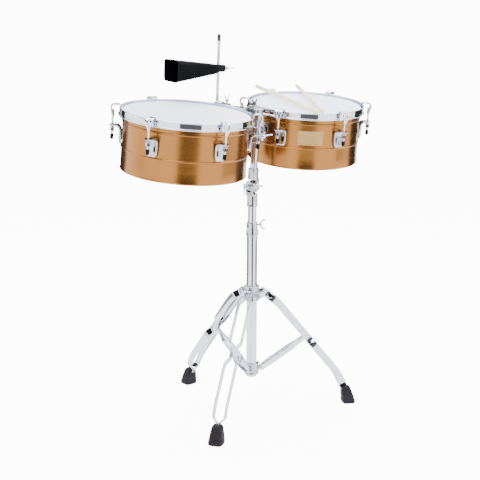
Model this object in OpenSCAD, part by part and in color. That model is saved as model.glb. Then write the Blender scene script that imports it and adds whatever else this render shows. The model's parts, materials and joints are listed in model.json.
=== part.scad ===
// Timbales: a 14 inch and a 13 inch drum on a double-braced tripod, with a cowbell and two sticks.
// X runs along the pair of drums, -Y is the player's side, +Z is up.
// The origin is on the column's axis at floor level. All sizes are in millimetres.

/* [Drums] */
// Outside diameter of the larger shell
big_shell_d = 355.6; // [330:0.1:360]
// Outside diameter of the smaller shell
small_shell_d = 330.2; // [320:0.1:340]
// Height from the top of a hoop to the bottom of its shell
drum_h = 171.6; // [150:0.1:180]
// Gap between the two hoops
hoop_gap = 77; // [70:1:90]
// Height of the middle of the hoops' top edges
drum_z = 925.3; // [900:0.1:960]
// Distance of the drums' centres behind the column
drum_y = 9.9; // [0:0.1:20]
// Tilt of the pair towards the player, in degrees
drum_tilt = 5.8; // [0:0.1:12]
// Inward lean of each drum, in degrees
drum_vee = 1.2; // [0:0.1:2]
// Turn of the six lugs about each drum's axis, in degrees
lug_turn = -4.9; // [-8:0.1:8]

/* [Hoops and lugs] */
// Height of a hoop
hoop_h = 20.3; // [16:0.1:24]
// Distance of a hoop's outer face outside its shell
hoop_out = 10.7; // [9:0.1:12]
// Wall thickness of a shell
shell_t = 1.5; // [1:0.1:2]
// Depth of the head below the hoop's top edge
head_drop = 6; // [4:0.5:8]
// Width of a tension claw
claw_w = 24; // [18:1:28]
// Diameter of a tension rod
rod_d = 6.2; // [5:0.1:7]
// Distance of a tension rod outside the hoop
rod_out = 17; // [16:1:22]
// Depth of a lug bracket's lip below the hoop's top edge
lip_drop = 55; // [50:1:60]
// Height of a lug bracket
bracket_h = 49; // [42:1:49]

/* [Column] */
// Outside diameter of the lower tube
base_tube_d = 31.8; // [28:0.1:34]
// Height of the lower tube's bottom end
base_tube_z = 106; // [90:1:120]
// Height of the lower tube's top end
base_tube_top = 560; // [520:1:570]
// Outside diameter of the upper tube
upper_tube_d = 25.4; // [22:0.1:26]
// Height of the tilter's hinge
tilter_z = 690; // [680:1:700]
// Diameter of the mounting post above the tilter
post_d = 22.2; // [19:0.1:25]

/* [Tripod] */
// Height of the leg pivots on the sliding collar
leg_pivot_z = 370; // [360:1:380]
// Distance of the leg pivots from the column's axis
leg_pivot_r = 34; // [32:1:36]
// Height of the brace pivots on the fixed collar
brace_pivot_z = 131; // [125:1:140]
// Distance of the brace pivots from the column's axis
brace_pivot_r = 30; // [28:1:32]
// Distance of the feet from the column's axis
foot_r = 311; // [300:1:320]
// Direction of the front leg from the X axis, in degrees
front_leg_a = -147.5; // [-155:0.5:-140]
// Width of a leg strip
leg_w = 23; // [18:1:26]
// Thickness of a leg strip
leg_t = 3; // [2:0.5:4]
// Half of the widest gap between a leg's two strips
leg_bow = 16; // [10:0.5:16]
// Width of a brace strip
brace_w = 17; // [14:1:18]

/* [Cowbell and sticks] */
// Distance of the cowbell's rod behind the column
bell_rod_y = 170.5; // [160:0.5:180]
// Diameter of the cowbell's rod
bell_rod_d = 9.5; // [8:0.1:10]
// Height of the rod's top end
bell_rod_top = 1127; // [1100:1:1140]
// Height of the cowbell's axis
bell_z = 1025; // [1010:1:1030]
// Length of the cowbell
bell_l = 160; // [140:1:170]
// Width of the cowbell's mouth
bell_mouth_w = 70; // [56:1:70]
// Height of the cowbell's mouth
bell_mouth_h = 64; // [50:1:66]
// Length of a stick
stick_l = 416; // [400:1:420]
// Diameter of a stick
stick_d = 11.5; // [9:0.5:12]

/* [Hidden] */
$fn = 64;
fit = 0.06;
clear = 0.4;
LEGS = ["front", "right", "left"];
big_r = big_shell_d / 2;
small_r = small_shell_d / 2;
big_x = -(big_r + hoop_out + hoop_gap / 2);
small_x = small_r + hoop_out + hoop_gap / 2;
claw_reach = 27;
base_r = base_tube_d / 2;
upper_r = upper_tube_d / 2;
// Leg outline in its own upright plane: [distance from the axis, height]
leg_knee = [78, 337];
leg_bend = [268, 103];
leg_end = [303, 30];
brace_joint_s = 0.485;
brace_joint = leg_knee + (leg_bend - leg_knee) * brace_joint_s;
// Mean line of a leg, along which its two strips bow apart
leg_mean = leg_end - [leg_pivot_r, leg_pivot_z];
leg_mean_l = norm(leg_mean);
leg_mean_a = atan2(leg_mean[1], leg_mean[0]);
brace_line = brace_joint - [brace_pivot_r, brace_pivot_z];
brace_l = norm(brace_line);
brace_a = atan2(brace_line[1], brace_line[0]);
ear_t = 8;
// Cowbell rod
bell_rod_foot_z = 924;
bell_rod_lean = 2.9;
bell_arm_z = 914;
arm_y0 = -14;
arm_y1 = 150;
// Heights in the tilted frame above the tilter's hinge
block_z = 157;
block_h = 46;
post_top = 232;
post_end = 214;
drum_off_y = (drum_y + (drum_z - tilter_z) * tan(drum_tilt)) * cos(drum_tilt);
arm_drop = 72;
star_x = -12;
star_z = 693;
arm_d = 12.7;
bracket_in = -hoop_out - 4;
bracket_out = 8 - hoop_out;

// ---------- frames ----------

// Frame of the tilted assembly: its origin is the tilter's hinge
module tilted() translate([0, 0, tilter_z]) rotate([drum_tilt, 0, 0]) children();

// Frame of a drum: its origin is the middle of the hoop's top edge
module drum_frame(side) {
  x = side < 0 ? big_x : small_x;
  translate([x, drum_y, drum_z]) rotate([drum_tilt, -side * drum_vee, 0]) children();
}

// Upright plane of leg i, seen as X outwards and Z up
module leg_plane(i) rotate([0, 0, front_leg_a + 120 * i]) children();

// Turns an outline drawn as [distance, height] into a slab of thickness t about the plane y = 0
module slab(t) rotate([90, 0, 0]) translate([0, 0, -t / 2]) linear_extrude(t) children();

// ---------- fasteners ----------

// Wing bolt along +Z, with its shank's tip at the origin
module wing_bolt(shank_l, shank_d = 6, span = 34, wing_h = 15, arms = 2) {
  cylinder(d = shank_d, h = shank_l + 1);
  translate([0, 0, shank_l]) cylinder(d1 = 12, d2 = 9, h = 9);
  for (k = [0:arms - 1]) rotate([0, 0, 360 / arms * k])
    translate([0, 0, shank_l + 5]) rotate([90, 0, 0]) translate([0, 0, -1.75]) linear_extrude(3.5)
      wing_outline(span / 2, wing_h);
}

// One wing, leaning outwards, with a round tip
module wing_outline(reach, h) {
  hull() {
    translate([2.5, 0]) circle(d = 5, $fn = 32);
    translate([reach - 4, h - 4]) circle(d = 8, $fn = 32);
  }
}

// Pivot bolt along Y through the origin, with a domed head and a nut
module pivot_bolt(half_w, d = 6) {
  rotate([90, 0, 0]) cylinder(d = d - 2 * fit, h = 2 * half_w, center = true);
  translate([0, half_w, 0]) rotate([-90, 0, 0]) cylinder(d1 = 11, d2 = 8, h = 3.5);
  translate([0, -half_w, 0]) rotate([90, 0, 0]) cylinder(d = 10.5, h = 4.5, $fn = 6);
}

// ---------- tripod ----------

module base_tube() {
  color("silver") difference() {
    translate([0, 0, base_tube_z]) cylinder(r = base_r, h = base_tube_top - base_tube_z);
    translate([0, 0, base_tube_z - 1]) cylinder(r = base_r - 1.6, h = base_tube_top - base_tube_z + 2);
  }
}

// Collar with three ears, around the column
module collar(z0, h, pivot_r, pivot_z, ear_r, bore_r) {
  difference() {
    union() {
      translate([0, 0, z0]) cylinder(r = base_r + 5.5, h = h);
      translate([0, 0, z0]) cylinder(r = base_r + 7, h = 5);
      translate([0, 0, z0 + h - 5]) cylinder(r = base_r + 7, h = 5);
      for (i = [0:2]) leg_plane(i) slab(ear_t) union() {
        translate([pivot_r, pivot_z]) circle(r = ear_r);
        translate([base_r + 2, pivot_z - ear_r]) square([pivot_r - base_r - 2, 2 * ear_r]);
      }
    }
    translate([0, 0, z0 - 1]) cylinder(r = bore_r, h = h + 2);
    for (i = [0:2]) leg_plane(i) translate([pivot_r, 0, pivot_z]) rotate([90, 0, 0])
      cylinder(d = 6, h = ear_t + 2, center = true);
  }
}

module lower_collar() {
  color("gainsboro") collar(brace_pivot_z - 17, 34, brace_pivot_r, brace_pivot_z, 8, base_r + fit);
}

module upper_collar() {
  color("gainsboro") difference() {
    union() {
      collar(leg_pivot_z - 26, 46, leg_pivot_r, leg_pivot_z, 9.5, base_r + 0.09);
      // Boss for the wing bolt, between two legs
      difference() {
        rotate([0, 0, front_leg_a + 60]) translate([base_r + 2, 0, leg_pivot_z - 8]) rotate([0, 90, 0])
          cylinder(d = 15, h = 14);
        translate([0, 0, leg_pivot_z - 40]) cylinder(r = base_r + 1, h = 60);
      }
    }
    rotate([0, 0, front_leg_a + 60]) translate([base_r - 1, 0, leg_pivot_z - 8]) rotate([0, 90, 0])
      cylinder(d = 6.2, h = 20);
  }
}

module collar_wing_bolt() {
  color("silver") rotate([0, 0, front_leg_a + 60]) translate([base_r + 0.5, 0, leg_pivot_z - 8])
    rotate([0, 90, 0]) wing_bolt(19);
}

module lower_pivot_bolts() {
  color("silver") for (i = [0:2]) leg_plane(i)
    translate([brace_pivot_r, 0, brace_pivot_z]) pivot_bolt(ear_t / 2 + clear + 2.5 + 0.3);
}

module collar_pivot_bolts() {
  color("silver") for (i = [0:2]) leg_plane(i)
    translate([leg_pivot_r, 0, leg_pivot_z]) pivot_bolt(ear_t / 2 + clear + leg_t + 0.3);
}

// Band of a leg as seen from the side: straight, with a knee near the top and a bend near the foot
module leg_band(w) {
  hull() {
    translate([leg_pivot_r, leg_pivot_z]) circle(d = w, $fn = 32);
    translate(leg_knee) circle(d = w, $fn = 32);
  }
  hull() {
    translate(leg_knee) circle(d = w, $fn = 32);
    translate(leg_bend) circle(d = w, $fn = 32);
  }
  hull() {
    translate(leg_bend) circle(d = w, $fn = 32);
    translate(leg_end) circle(d = w - 3, $fn = 32);
  }
}

// Half gap between a leg's strips at a distance s along its mean line
function rail_path() = let (
    s_joint = (brace_joint - [leg_pivot_r, leg_pivot_z]) * leg_mean / leg_mean_l,
    top = ear_t / 2 + clear, joint = 4, ramp = 19, foot = 1.5
  ) [
    [-20, top], [16, top], [16 + ramp, leg_bow], [s_joint - 18 - ramp, leg_bow], [s_joint - 18, joint],
    [s_joint + 14, joint], [s_joint + 14 + ramp, leg_bow], [leg_mean_l - 30 - ramp, leg_bow],
    [leg_mean_l - 30, foot], [leg_mean_l + 30, foot]
  ];

// Plan of one strip, drawn along the mean line, from half gap to half gap plus its thickness
module rail_plan(side, grow = 0) {
  p = rail_path();
  n = len(p);
  inner = [for (i = [0:n - 1]) [p[i][0], side * (p[i][1] - grow)]];
  outer = [for (i = [n - 1:-1:0]) [p[i][0], side * (p[i][1] + leg_t + grow)]];
  polygon(concat(inner, outer));
}

// The two strips of a leg, grown by a little to cut clearance for them
module rails(grow = 0) {
  for (side = [-1, 1]) intersection() {
    translate([leg_pivot_r, 0, leg_pivot_z]) rotate([0, -leg_mean_a, 0]) translate([0, 0, -120])
      linear_extrude(240) rail_plan(side, grow);
    slab(80) leg_band(leg_w + 2 * grow);
  }
}

module leg(i) {
  color("silver") leg_plane(i) difference() {
    rails();
    for (p = [[leg_pivot_r, leg_pivot_z], brace_joint]) translate([p[0], 0, p[1]]) rotate([90, 0, 0])
      cylinder(d = 6, h = 60, center = true);
  }
}

// Rivets that join the strips to the foot and carry the brace's end
module leg_rivets(i) {
  color("silver") leg_plane(i) {
    for (side = [-1, 1]) translate([brace_joint[0], 0, brace_joint[1]]) rotate([-side * 90, 0, 0]) {
      translate([0, 0, 4]) cylinder(d = 6 - 2 * fit, h = leg_t + 0.5);
      translate([0, 0, 4 + leg_t]) cylinder(d1 = 10.5, d2 = 7, h = 2.5);
    }
  }
}

// Rubber boot on the end of a leg
module foot(i) {
  color([0.13, 0.12, 0.14]) leg_plane(i) difference() {
    intersection() {
      slab(60) foot_side();
      rotate([0, 0, 90]) slab(800) foot_end();
    }
    slab(2 * (1.5 + leg_t + fit)) leg_band(leg_w + 2 * fit);
  }
}

// Boot outline from the side, leaning with the leg
module foot_side() {
  hull() {
    translate([foot_r - 20, 4]) circle(r = 4, $fn = 32);
    translate([foot_r + 13, 3]) circle(r = 3, $fn = 32);
    translate([foot_r - 24, 34]) circle(r = 4, $fn = 32);
    translate([foot_r - 24, 52]) circle(r = 3, $fn = 32);
    translate([foot_r - 4, 54]) circle(r = 4, $fn = 32);
  }
}

// Boot outline from the end
module foot_end() {
  hull() for (s = [-1, 1]) {
    translate([s * 18, 3]) circle(r = 3, $fn = 32);
    translate([s * 11, 52]) circle(r = 6, $fn = 32);
  }
}

// Half gap between a brace's strips along its length
function brace_path() = [
  [-12, ear_t / 2 + clear], [14, ear_t / 2 + clear], [32, 8], [brace_l - 60, 8], [brace_l - 36, 0.9],
  [brace_l + 12, 0.9]
];

module brace_plan(side) {
  p = brace_path();
  n = len(p);
  inner = [for (i = [0:n - 1]) [p[i][0], side * p[i][1]]];
  outer = [for (i = [n - 1:-1:0]) [p[i][0], side * (p[i][1] + 2.5)]];
  polygon(concat(inner, outer));
}

module brace(i) {
  color("silver") leg_plane(i) translate([brace_pivot_r, 0, brace_pivot_z]) rotate([0, -brace_a, 0])
    difference() {
      for (side = [-1, 1]) intersection() {
        translate([0, 0, -20]) linear_extrude(40) brace_plan(side);
        slab(40) hull() {
          circle(d = brace_w, $fn = 32);
          translate([brace_l, 0]) circle(d = brace_w, $fn = 32);
        }
      }
      rotate([90, 0, 0]) cylinder(d = 6, h = 60, center = true);
      translate([brace_l, 0, 0]) rotate([90, 0, 0]) cylinder(d = 6.5, h = 60, center = true);
    }
}

// ---------- height adjustment ----------

clamp_z = 543;
clamp_step = 20;
clamp_h = 40;
clamp_turn = -39;
clamp_bolt = [24, 571];

// Cast clamp on top of the lower tube, split at the back and closed by a wing bolt through two ears
module height_clamp() {
  color("gainsboro") rotate([0, 0, clamp_turn]) difference() {
    union() {
      translate([0, 0, clamp_z]) cylinder(r = base_r + 2.2, h = clamp_step);
      translate([0, 0, clamp_z + clamp_step - 0.01]) cylinder(r = base_r + 0.6, h = clamp_h - clamp_step);
      for (s = [-1, 1]) translate([s * 5 - 2.5, 0, 0]) clamp_ear();
    }
    translate([0, 0, clamp_z - 1]) cylinder(r = base_r + fit, h = base_tube_top - clamp_z + 1);
    translate([0, 0, base_tube_top - 0.5]) cylinder(r = upper_r + 0.08, h = clamp_h);
    translate([-2.5, 0, clamp_z + clamp_step - 2]) cube([5, 40, clamp_h]);
    translate([-30, clamp_bolt[0], clamp_bolt[1]]) rotate([0, 90, 0]) cylinder(d = 6.2, h = 60);
  }
}

module clamp_ear() {
  rotate([90, 0, 90]) linear_extrude(5) union() {
    translate([clamp_bolt[0], clamp_bolt[1]]) circle(r = 9);
    translate([10, clamp_bolt[1] - 9]) square([clamp_bolt[0] - 10, 18]);
  }
}

module height_wing_bolt() {
  color("silver") rotate([0, 0, clamp_turn]) translate([-13, clamp_bolt[0], clamp_bolt[1]])
    rotate([0, 90, 0]) {
      wing_bolt(34);
      translate([0, 0, -0.3]) cylinder(d = 11, h = 4.8, $fn = 6);
    }
}

module upper_tube() {
  color("silver") difference() {
    translate([0, 0, 250]) cylinder(r = upper_r, h = 652 - 250);
    translate([0, 0, 249]) cylinder(r = upper_r - 1.5, h = 652 - 248);
  }
}

// ---------- tilter ----------

// Fixed half of the tilter: a sleeve over the upper tube, and a toothed cheek
module tilter_base() {
  color("gainsboro") difference() {
    union() {
      translate([0, 0, 630]) cylinder(r = upper_r + 3, h = 40);
      translate([0, 0, 630]) cylinder(r = upper_r + 4, h = 4);
      translate([-14, 0, tilter_z]) rotate([0, 90, 0]) cylinder(r = 18, h = 13.7);
      translate([-14, -15, 660]) cube([13.7, 30, 30]);
      translate([star_x, -8.2, star_z]) rotate([90, 0, 0]) cylinder(d = 12, h = 13.8);
    }
    translate([star_x, -9.7, star_z]) rotate([90, 0, 0]) cylinder(d = 6.2, h = 30);
    translate([0, 0, 629]) cylinder(r = upper_r + 0.08, h = 23);
    translate([-20, 0, tilter_z]) rotate([0, 90, 0]) cylinder(d = 8.2, h = 40);
    // Radial teeth are a ring of shallow grooves on the mating face
    for (a = [0:20:340]) translate([-0.3, 0, tilter_z]) rotate([a, 0, 0])
      translate([0, 0, 13]) rotate([0, 45, 0]) cube([1.4, 1.4, 12], center = true);
  }
}

// Moving half of the tilter, with the socket for the mounting post
module tilter_head() {
  color("gainsboro") tilted() difference() {
    union() {
      translate([0.3, 0, 0]) rotate([0, 90, 0]) cylinder(r = 18, h = 13.7);
      translate([0.3, -13, 0]) cube([13.7, 26, 26]);
      translate([0, 0, 21]) cylinder(r = post_d / 2 + 4.5, h = 34);
    }
    translate([0, 0, 24]) cylinder(r = post_d / 2 + fit, h = 40);
    translate([-20, 0, 0]) rotate([0, 90, 0]) cylinder(d = 8.2, h = 40);
    for (a = [0:20:340]) translate([0.3, 0, 0]) rotate([a, 0, 0])
      translate([0, 0, 13]) rotate([0, 45, 0]) cube([1.4, 1.4, 12], center = true);
  }
}

// Hinge bolt of the tilter: a nut at one end, and at the other a T-shaped head with a thin tail
module tilter_pin() {
  color("silver") {
    translate([-16, 0, tilter_z]) rotate([0, 90, 0]) cylinder(d = 8, h = 34);
    translate([-19.2, 0, tilter_z]) rotate([0, 90, 0]) cylinder(d = 15, h = 4.9, $fn = 6);
    translate([14.3, 0, tilter_z]) rotate([0, 90, 0]) cylinder(d = 15, h = 5.7, $fn = 6);
    translate([-31, 0, tilter_z]) rotate([0, 90, 0]) cylinder(d = 5, h = 13);
    translate([-31, 0, tilter_z - 8]) cylinder(d = 6.4, h = 20);
    translate([-31, 0, tilter_z - 28]) cylinder(d = 3.2, h = 22);
  }
}

// Three-armed bolt that pinches the hinge
module tilter_wing_bolt() {
  color("silver") translate([star_x, -10, star_z]) rotate([90, 0, 0]) rotate([0, 0, 8])
    wing_bolt(12.5, 6, 52, 12, 3);
}

// ---------- centre mount ----------

module mount_post() {
  color("silver") tilted() difference() {
    translate([0, 0, 24]) cylinder(d = post_d, h = post_end - 24);
    translate([0, 0, 40]) cylinder(d = post_d - 3, h = post_end - 39);
  }
}

// Cast block on the post, with the two round arms that carry the drums
module centre_block() {
  color("gainsboro") {
    tilted() difference() {
      union() {
        translate([0, 0, block_z - block_h / 2]) cylinder(r = post_d / 2 + 6, h = block_h);
        translate([-16, 4, block_z - 19]) cube([32, drum_off_y + 8, 38]);
        translate([0, -14, block_z]) rotate([90, 0, 0]) cylinder(d = 15, h = 10);
      }
      translate([0, 0, block_z - 40]) cylinder(d = post_d + 2 * fit, h = 80);
      translate([0, 0, block_z]) rotate([90, 0, 0]) cylinder(d = 8.2, h = 40);
    }
    for (side = [-1, 1]) drum_arm(side);
  }
}

// One arm: a round bar along the drum's own pivot axis
module drum_arm(side) {
  inner = (side < 0 ? -big_x : small_x) - 10;
  outer = (side < 0 ? big_r : small_r) + 3;
  drum_frame(side) translate([-side * inner, 0, -arm_drop]) rotate([0, side * 90, 0])
    cylinder(d = arm_d, h = inner - outer);
}

module block_wing_bolt() {
  color("silver") tilted() translate([0, -post_d / 2 - 0.3, block_z]) rotate([90, 0, 0])
    wing_bolt(20, 8, 40, 16);
}

// ---------- cowbell ----------

// Casting on the top of the post that holds the cowbell's arm
module top_clamp() {
  color("gainsboro") difference() {
    union() {
      tilted() translate([0, 0, post_end - 16]) cylinder(r = post_d / 2 + 5, h = post_top - post_end + 16);
      translate([-12, -18, bell_arm_z - 12]) cube([24, 33, 24]);
      translate([0, -8, bell_arm_z + 10]) cylinder(d = 14, h = 6);
    }
    tilted() translate([0, 0, post_end - 60]) cylinder(d = post_d + 2 * fit, h = 60.3);
    translate([0, arm_y0, bell_arm_z]) rotate([-90, 0, 0]) cylinder(d = arm_d + 2 * fit, h = 60);
    translate([0, -8, bell_arm_z]) cylinder(d = 6.2, h = 30);
  }
}

module top_wing_bolt() {
  color([0.16, 0.16, 0.16]) translate([0, -8, bell_arm_z + arm_d / 2 + 0.4]) rotate([0, 0, 20])
    wing_bolt(10, 6, 24, 12);
}

// Bar from the top clamp back to the cowbell rod's clamp
module cowbell_arm() {
  color("silver") translate([0, arm_y0 + 0.3, bell_arm_z]) rotate([-90, 0, 0])
    cylinder(d = arm_d, h = arm_y1 - arm_y0 - 0.3);
}

// Clamp on the arm's back end; the cowbell's rod passes up through it
module rod_clamp() {
  color("gainsboro") difference() {
    union() {
      translate([-10, arm_y1 - 36, bell_arm_z - 10]) cube([20, 36, 21]);
      translate([-8, arm_y1 - 1, bell_arm_z - 8]) cube([16, bell_rod_y - arm_y1 + 8, 17]);
    }
    translate([0, arm_y0, bell_arm_z]) rotate([-90, 0, 0])
      cylinder(d = arm_d + 2 * fit, h = arm_y1 - arm_y0 + 0.3);
    translate([0, arm_y1 - 28, bell_arm_z]) cylinder(d = 6.2, h = 30);
    rod_upright() translate([0, 0, -60]) cylinder(d = bell_rod_d + 0.16, h = 120);
    translate([0, bell_rod_y - 2, bell_arm_z - 1]) rotate([-90, 0, 0]) cylinder(d = 6.2, h = 40);
  }
}

module rod_wing_bolt() {
  color("silver") translate([0, arm_y1 - 28, bell_arm_z + arm_d / 2 + 0.4]) rotate([0, 0, 30])
    wing_bolt(9, 6, 30, 16);
}

// Round screw knob at the rod's base
module rod_knob() {
  color([0.12, 0.12, 0.12]) translate([0, bell_rod_y + bell_rod_d / 2 + 1, bell_arm_z - 1])
    rotate([-90, 0, 0]) {
      cylinder(d = 6, h = 6);
      translate([0, 0, 4]) cylinder(d = 18, h = 9);
      translate([0, 0, 12.9]) cylinder(d1 = 18, d2 = 14, h = 2);
    }
}

// Straight rod with a slightly thicker tip
module cowbell_rod() {
  color("silver") rod_upright() {
    translate([0, 0, -30]) cylinder(d = bell_rod_d, h = bell_rod_top - bell_rod_foot_z + 12);
    translate([0, 0, bell_rod_top - bell_rod_foot_z - 20]) cylinder(d = bell_rod_d + 1.4, h = 18);
    translate([0, 0, bell_rod_top - bell_rod_foot_z - 2.01])
      cylinder(d1 = bell_rod_d + 1.4, d2 = bell_rod_d - 2, h = 2);
  }
}

// Frame of the upright part of the rod, leaning forwards, with its origin at the foot
module rod_upright() {
  translate([0, bell_rod_y, bell_rod_foot_z]) rotate([bell_rod_lean, 0, 0]) children();
}

// Frame of the bell, on the rod's axis
module bell_frame() rod_upright() translate([0, 0, bell_z - bell_rod_foot_z]) children();

// Outline of the bell's section at fraction f from the closed end to the mouth
module bell_section(f, inset = 0) {
  w = 36 + (bell_mouth_w - 36) * f - 2 * inset;
  h = 27 + (bell_mouth_h - 27) * f - 2 * inset;
  r = 6 + 4 * f;
  hull() for (y = [-1, 1], z = [-1, 1]) translate([y * (w / 2 - r), z * (h / 2 - r)])
    circle(r = r, $fn = 32);
}

// Tapered closed solid between the closed end and the mouth
module bell_body(inset, x0, x1) {
  hull() {
    translate([x0, 0, 0]) rotate([90, 0, -90]) linear_extrude(0.1) bell_section(0, inset);
    translate([x1, 0, 0]) rotate([90, 0, -90]) linear_extrude(0.1) bell_section(1, inset);
  }
}

module cowbell() {
  color([0.06, 0.06, 0.07]) bell_frame() difference() {
    bell_body(0, -12, -12 - bell_l);
    bell_body(1.8, -14, -12.2 - bell_l);
  }
}

// Black block that squeezes the rod against the bell's end
module bell_clamp() {
  color([0.08, 0.08, 0.08]) bell_frame() difference() {
    union() {
      translate([-11.9, -9, -10]) cube([10, 18, 20]);
      translate([-3, -9, -10]) cube([25, 18, 20]);
    }
    translate([0, 0, -20]) cylinder(d = bell_rod_d + 0.16, h = 40);
    translate([4, 0, 0]) rotate([0, 90, 0]) cylinder(d = 6.2, h = 30);
  }
}

module bell_wing_bolt() {
  color("silver") bell_frame() translate([bell_rod_d / 2 + 0.5, 0, 0]) rotate([0, 90, 0])
    rotate([0, 0, 90]) wing_bolt(24, 6, 30, 15);
}

// ---------- drums ----------

// Shell: a rolled sheet with two raised beads and a rim turned in at the bottom
module shell(r) {
  color([0.78, 0.56, 0.33]) difference() {
    union() {
      translate([0, 0, -drum_h]) cylinder(r = r, h = drum_h - head_drop - 1, $fn = 180);
      bead_ring(r, -36);
      bead_ring(r, -108);
    }
    translate([0, 0, -drum_h - 1]) cylinder(r = r - shell_t, h = drum_h, $fn = 180);
  }
}

// Raised bead around a shell
module bead_ring(r, z) {
  rotate_extrude($fn = 180) translate([r - 0.8, z]) circle(r = 3.2, $fn = 32);
}

module head(r) {
  color("white") {
    rotate_extrude($fn = 180) polygon([
      [0, -head_drop - 0.8], [r + 1.2, -head_drop - 0.8], [r + 1.2, -15], [r + 0.4, -15],
      [r + 0.4, -17.5], [r + 6.5, -17.5], [r + 6.5, -13], [r + 2, -13], [r + 2, -head_drop - 1],
      [r + 0.6, -head_drop], [0, -head_drop]
    ]);
  }
}

// Hoop: a flat band with a rolled top edge, a shoulder over the head's rim, and a bead at the bottom
module hoop(r) {
  outer = r + hoop_out;
  color("gainsboro") rotate_extrude($fn = 180) union() {
    translate([outer - 2.4, -hoop_h]) square([2.4, hoop_h - 1.2]);
    translate([outer - 1.4, -1.6]) circle(r = 1.6, $fn = 32);
    translate([outer - 0.4, -hoop_h + 1]) circle(r = 3, $fn = 32);
    translate([r + 2.6, -12.6]) square([hoop_out - 4, 2.4]);
  }
}

// Places children at the six lugs, as X outwards from the hoop's outer face and Z up
module at_lugs(r) {
  for (k = [0:5]) rotate([0, 0, 30 + 60 * k + lug_turn]) translate([r + hoop_out, 0, 0]) children();
}

module lug_brackets(r) {
  color("gainsboro") at_lugs(r) difference() {
    union() {
      // Plate
      translate([bracket_in, 0, -lip_drop]) rotate([90, 0, 90]) linear_extrude(bracket_out - bracket_in)
        bracket_plate();
      // Lip with a round nose
      translate([bracket_out - 2, -15, -lip_drop - 4]) cube([rod_out - bracket_out + 2, 30, 4]);
      translate([rod_out, 0, -lip_drop - 4]) cylinder(r = 9.5, h = 4);
      // Cheeks
      for (s = [-1, 1]) translate([0, s * 13.8, 0]) slab(2.4) polygon([
        [bracket_out - 2, -lip_drop - 2], [rod_out - 4, -lip_drop - 2], [bracket_out + 3, -lip_drop - 12],
        [bracket_out - 2, -lip_drop - 34]
      ]);
    }
    translate([rod_out, 0, -lip_drop - 10]) cylinder(d = rod_d + 0.8, h = 20);
    translate([-r - hoop_out, 0, -drum_h]) cylinder(r = r + fit, h = drum_h, $fn = 180);
  }
}

// Outline of a bracket's plate below its top edge, narrower at the bottom
module bracket_plate() {
  h = bracket_h;
  polygon([
    [-17, 0], [17, 0], [17, -h * 0.3], [15, 8 - h], [9, -h], [-9, -h], [-15, 8 - h], [-17, -h * 0.3]
  ]);
}

// Claws over the hoop's edge, each with its tension rod
module tension_claws(r) {
  color("silver") at_lugs(r) {
    difference() {
      intersection() {
        slab(claw_w) claw_side();
        rotate([0, 0, 90]) slab(80) claw_front();
      }
      // Room for the hoop
      translate([-3.2, -claw_w, -14]) cube([3.5, 2 * claw_w, 14.4]);
      // Slot down the middle of the claw's face
      translate([rod_out + 5.5, -2.5, -13]) cube([10, 5, 17]);
    }
    translate([rod_out, 0, -lip_drop - 34]) cylinder(d = rod_d, h = lip_drop + 14);
  }
}

// Claw from the side: a hook over the hoop, an arched back and a taper to the rod
module claw_side() {
  polygon([
    [-6.4, -4], [-6.4, 3], [-4, 6], [8, 6.4], [17, 6.2], [24, 3], [26.5, -2], [26, -9], [21.5, -27],
    [14.5, -27], [11, -14], [0.3, -9], [-3.5, -4]
  ]);
}

// Claw from the front: an arch that tapers to the rod
module claw_front() {
  c = claw_w / 2;
  polygon([
    [-c, -8], [-c + 0.6, -2], [-c + 3.5, 3.5], [-c + 7, 6.4], [c - 7, 6.4], [c - 3.5, 3.5], [c - 0.6, -2],
    [c, -8], [c - 3, -15], [4.4, -27], [-4.4, -27], [3 - c, -15]
  ]);
}

// Washer and hexagonal nut under each bracket's lip
module tuning_nuts(r) {
  color("silver") at_lugs(r) translate([rod_out, 0, -lip_drop - 4]) difference() {
    union() {
      translate([0, 0, -1.8]) cylinder(d = 15, h = 1.6);
      translate([0, 0, -12]) cylinder(d = 12.7, h = 10.4, $fn = 6);
    }
    translate([0, 0, -14]) cylinder(d = rod_d + 2 * fit, h = 20);
  }
}

module rod_caps(r) {
  color([0.07, 0.07, 0.07]) at_lugs(r) translate([rod_out, 0, -lip_drop - 36]) difference() {
    union() {
      translate([0, 0, 1]) cylinder(d = 9.6, h = 11);
      sphere_cap();
    }
    translate([0, 0, 1.9]) cylinder(d = rod_d + 2 * fit, h = 20);
  }
}

// Round lower end of a cap
module sphere_cap() {
  translate([0, 0, 1.2]) intersection() {
    sphere(d = 9.6);
    translate([-8, -8, -8]) cube([16, 16, 9]);
  }
}

// Bracket on a shell that takes its arm
module drum_mount(side, r) {
  reach = 15;
  color("gainsboro") drum_frame(side) rotate([0, 0, side < 0 ? 0 : 180]) difference() {
    union() {
      translate([r - 6, -26, -arm_drop - 30]) cube([10, 52, 60]);
      translate([r, 0, -arm_drop]) rotate([0, 90, 0]) cylinder(d = 30, h = reach);
    }
    translate([0, 0, -drum_h]) cylinder(r = r + fit, h = drum_h, $fn = 180);
    translate([r + 2, 0, -arm_drop]) rotate([0, 90, 0]) cylinder(r = arm_d / 2 + 0.09, h = 40);
  }
}

module drum(side) drum_frame(side) children();

// Blank name plate, curved to the shell
module badge() {
  color([0.85, 0.75, 0.45]) drum_frame(1) intersection() {
    difference() {
      translate([0, 0, -99]) cylinder(r = small_r + 1.3, h = 46, $fn = 180);
      translate([0, 0, -100]) cylinder(r = small_r + 0.05, h = 48, $fn = 180);
    }
    rotate([0, 0, -125]) translate([small_r - 30, -38, -97]) cube([60, 76, 42]);
  }
}

// ---------- sticks ----------

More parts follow.
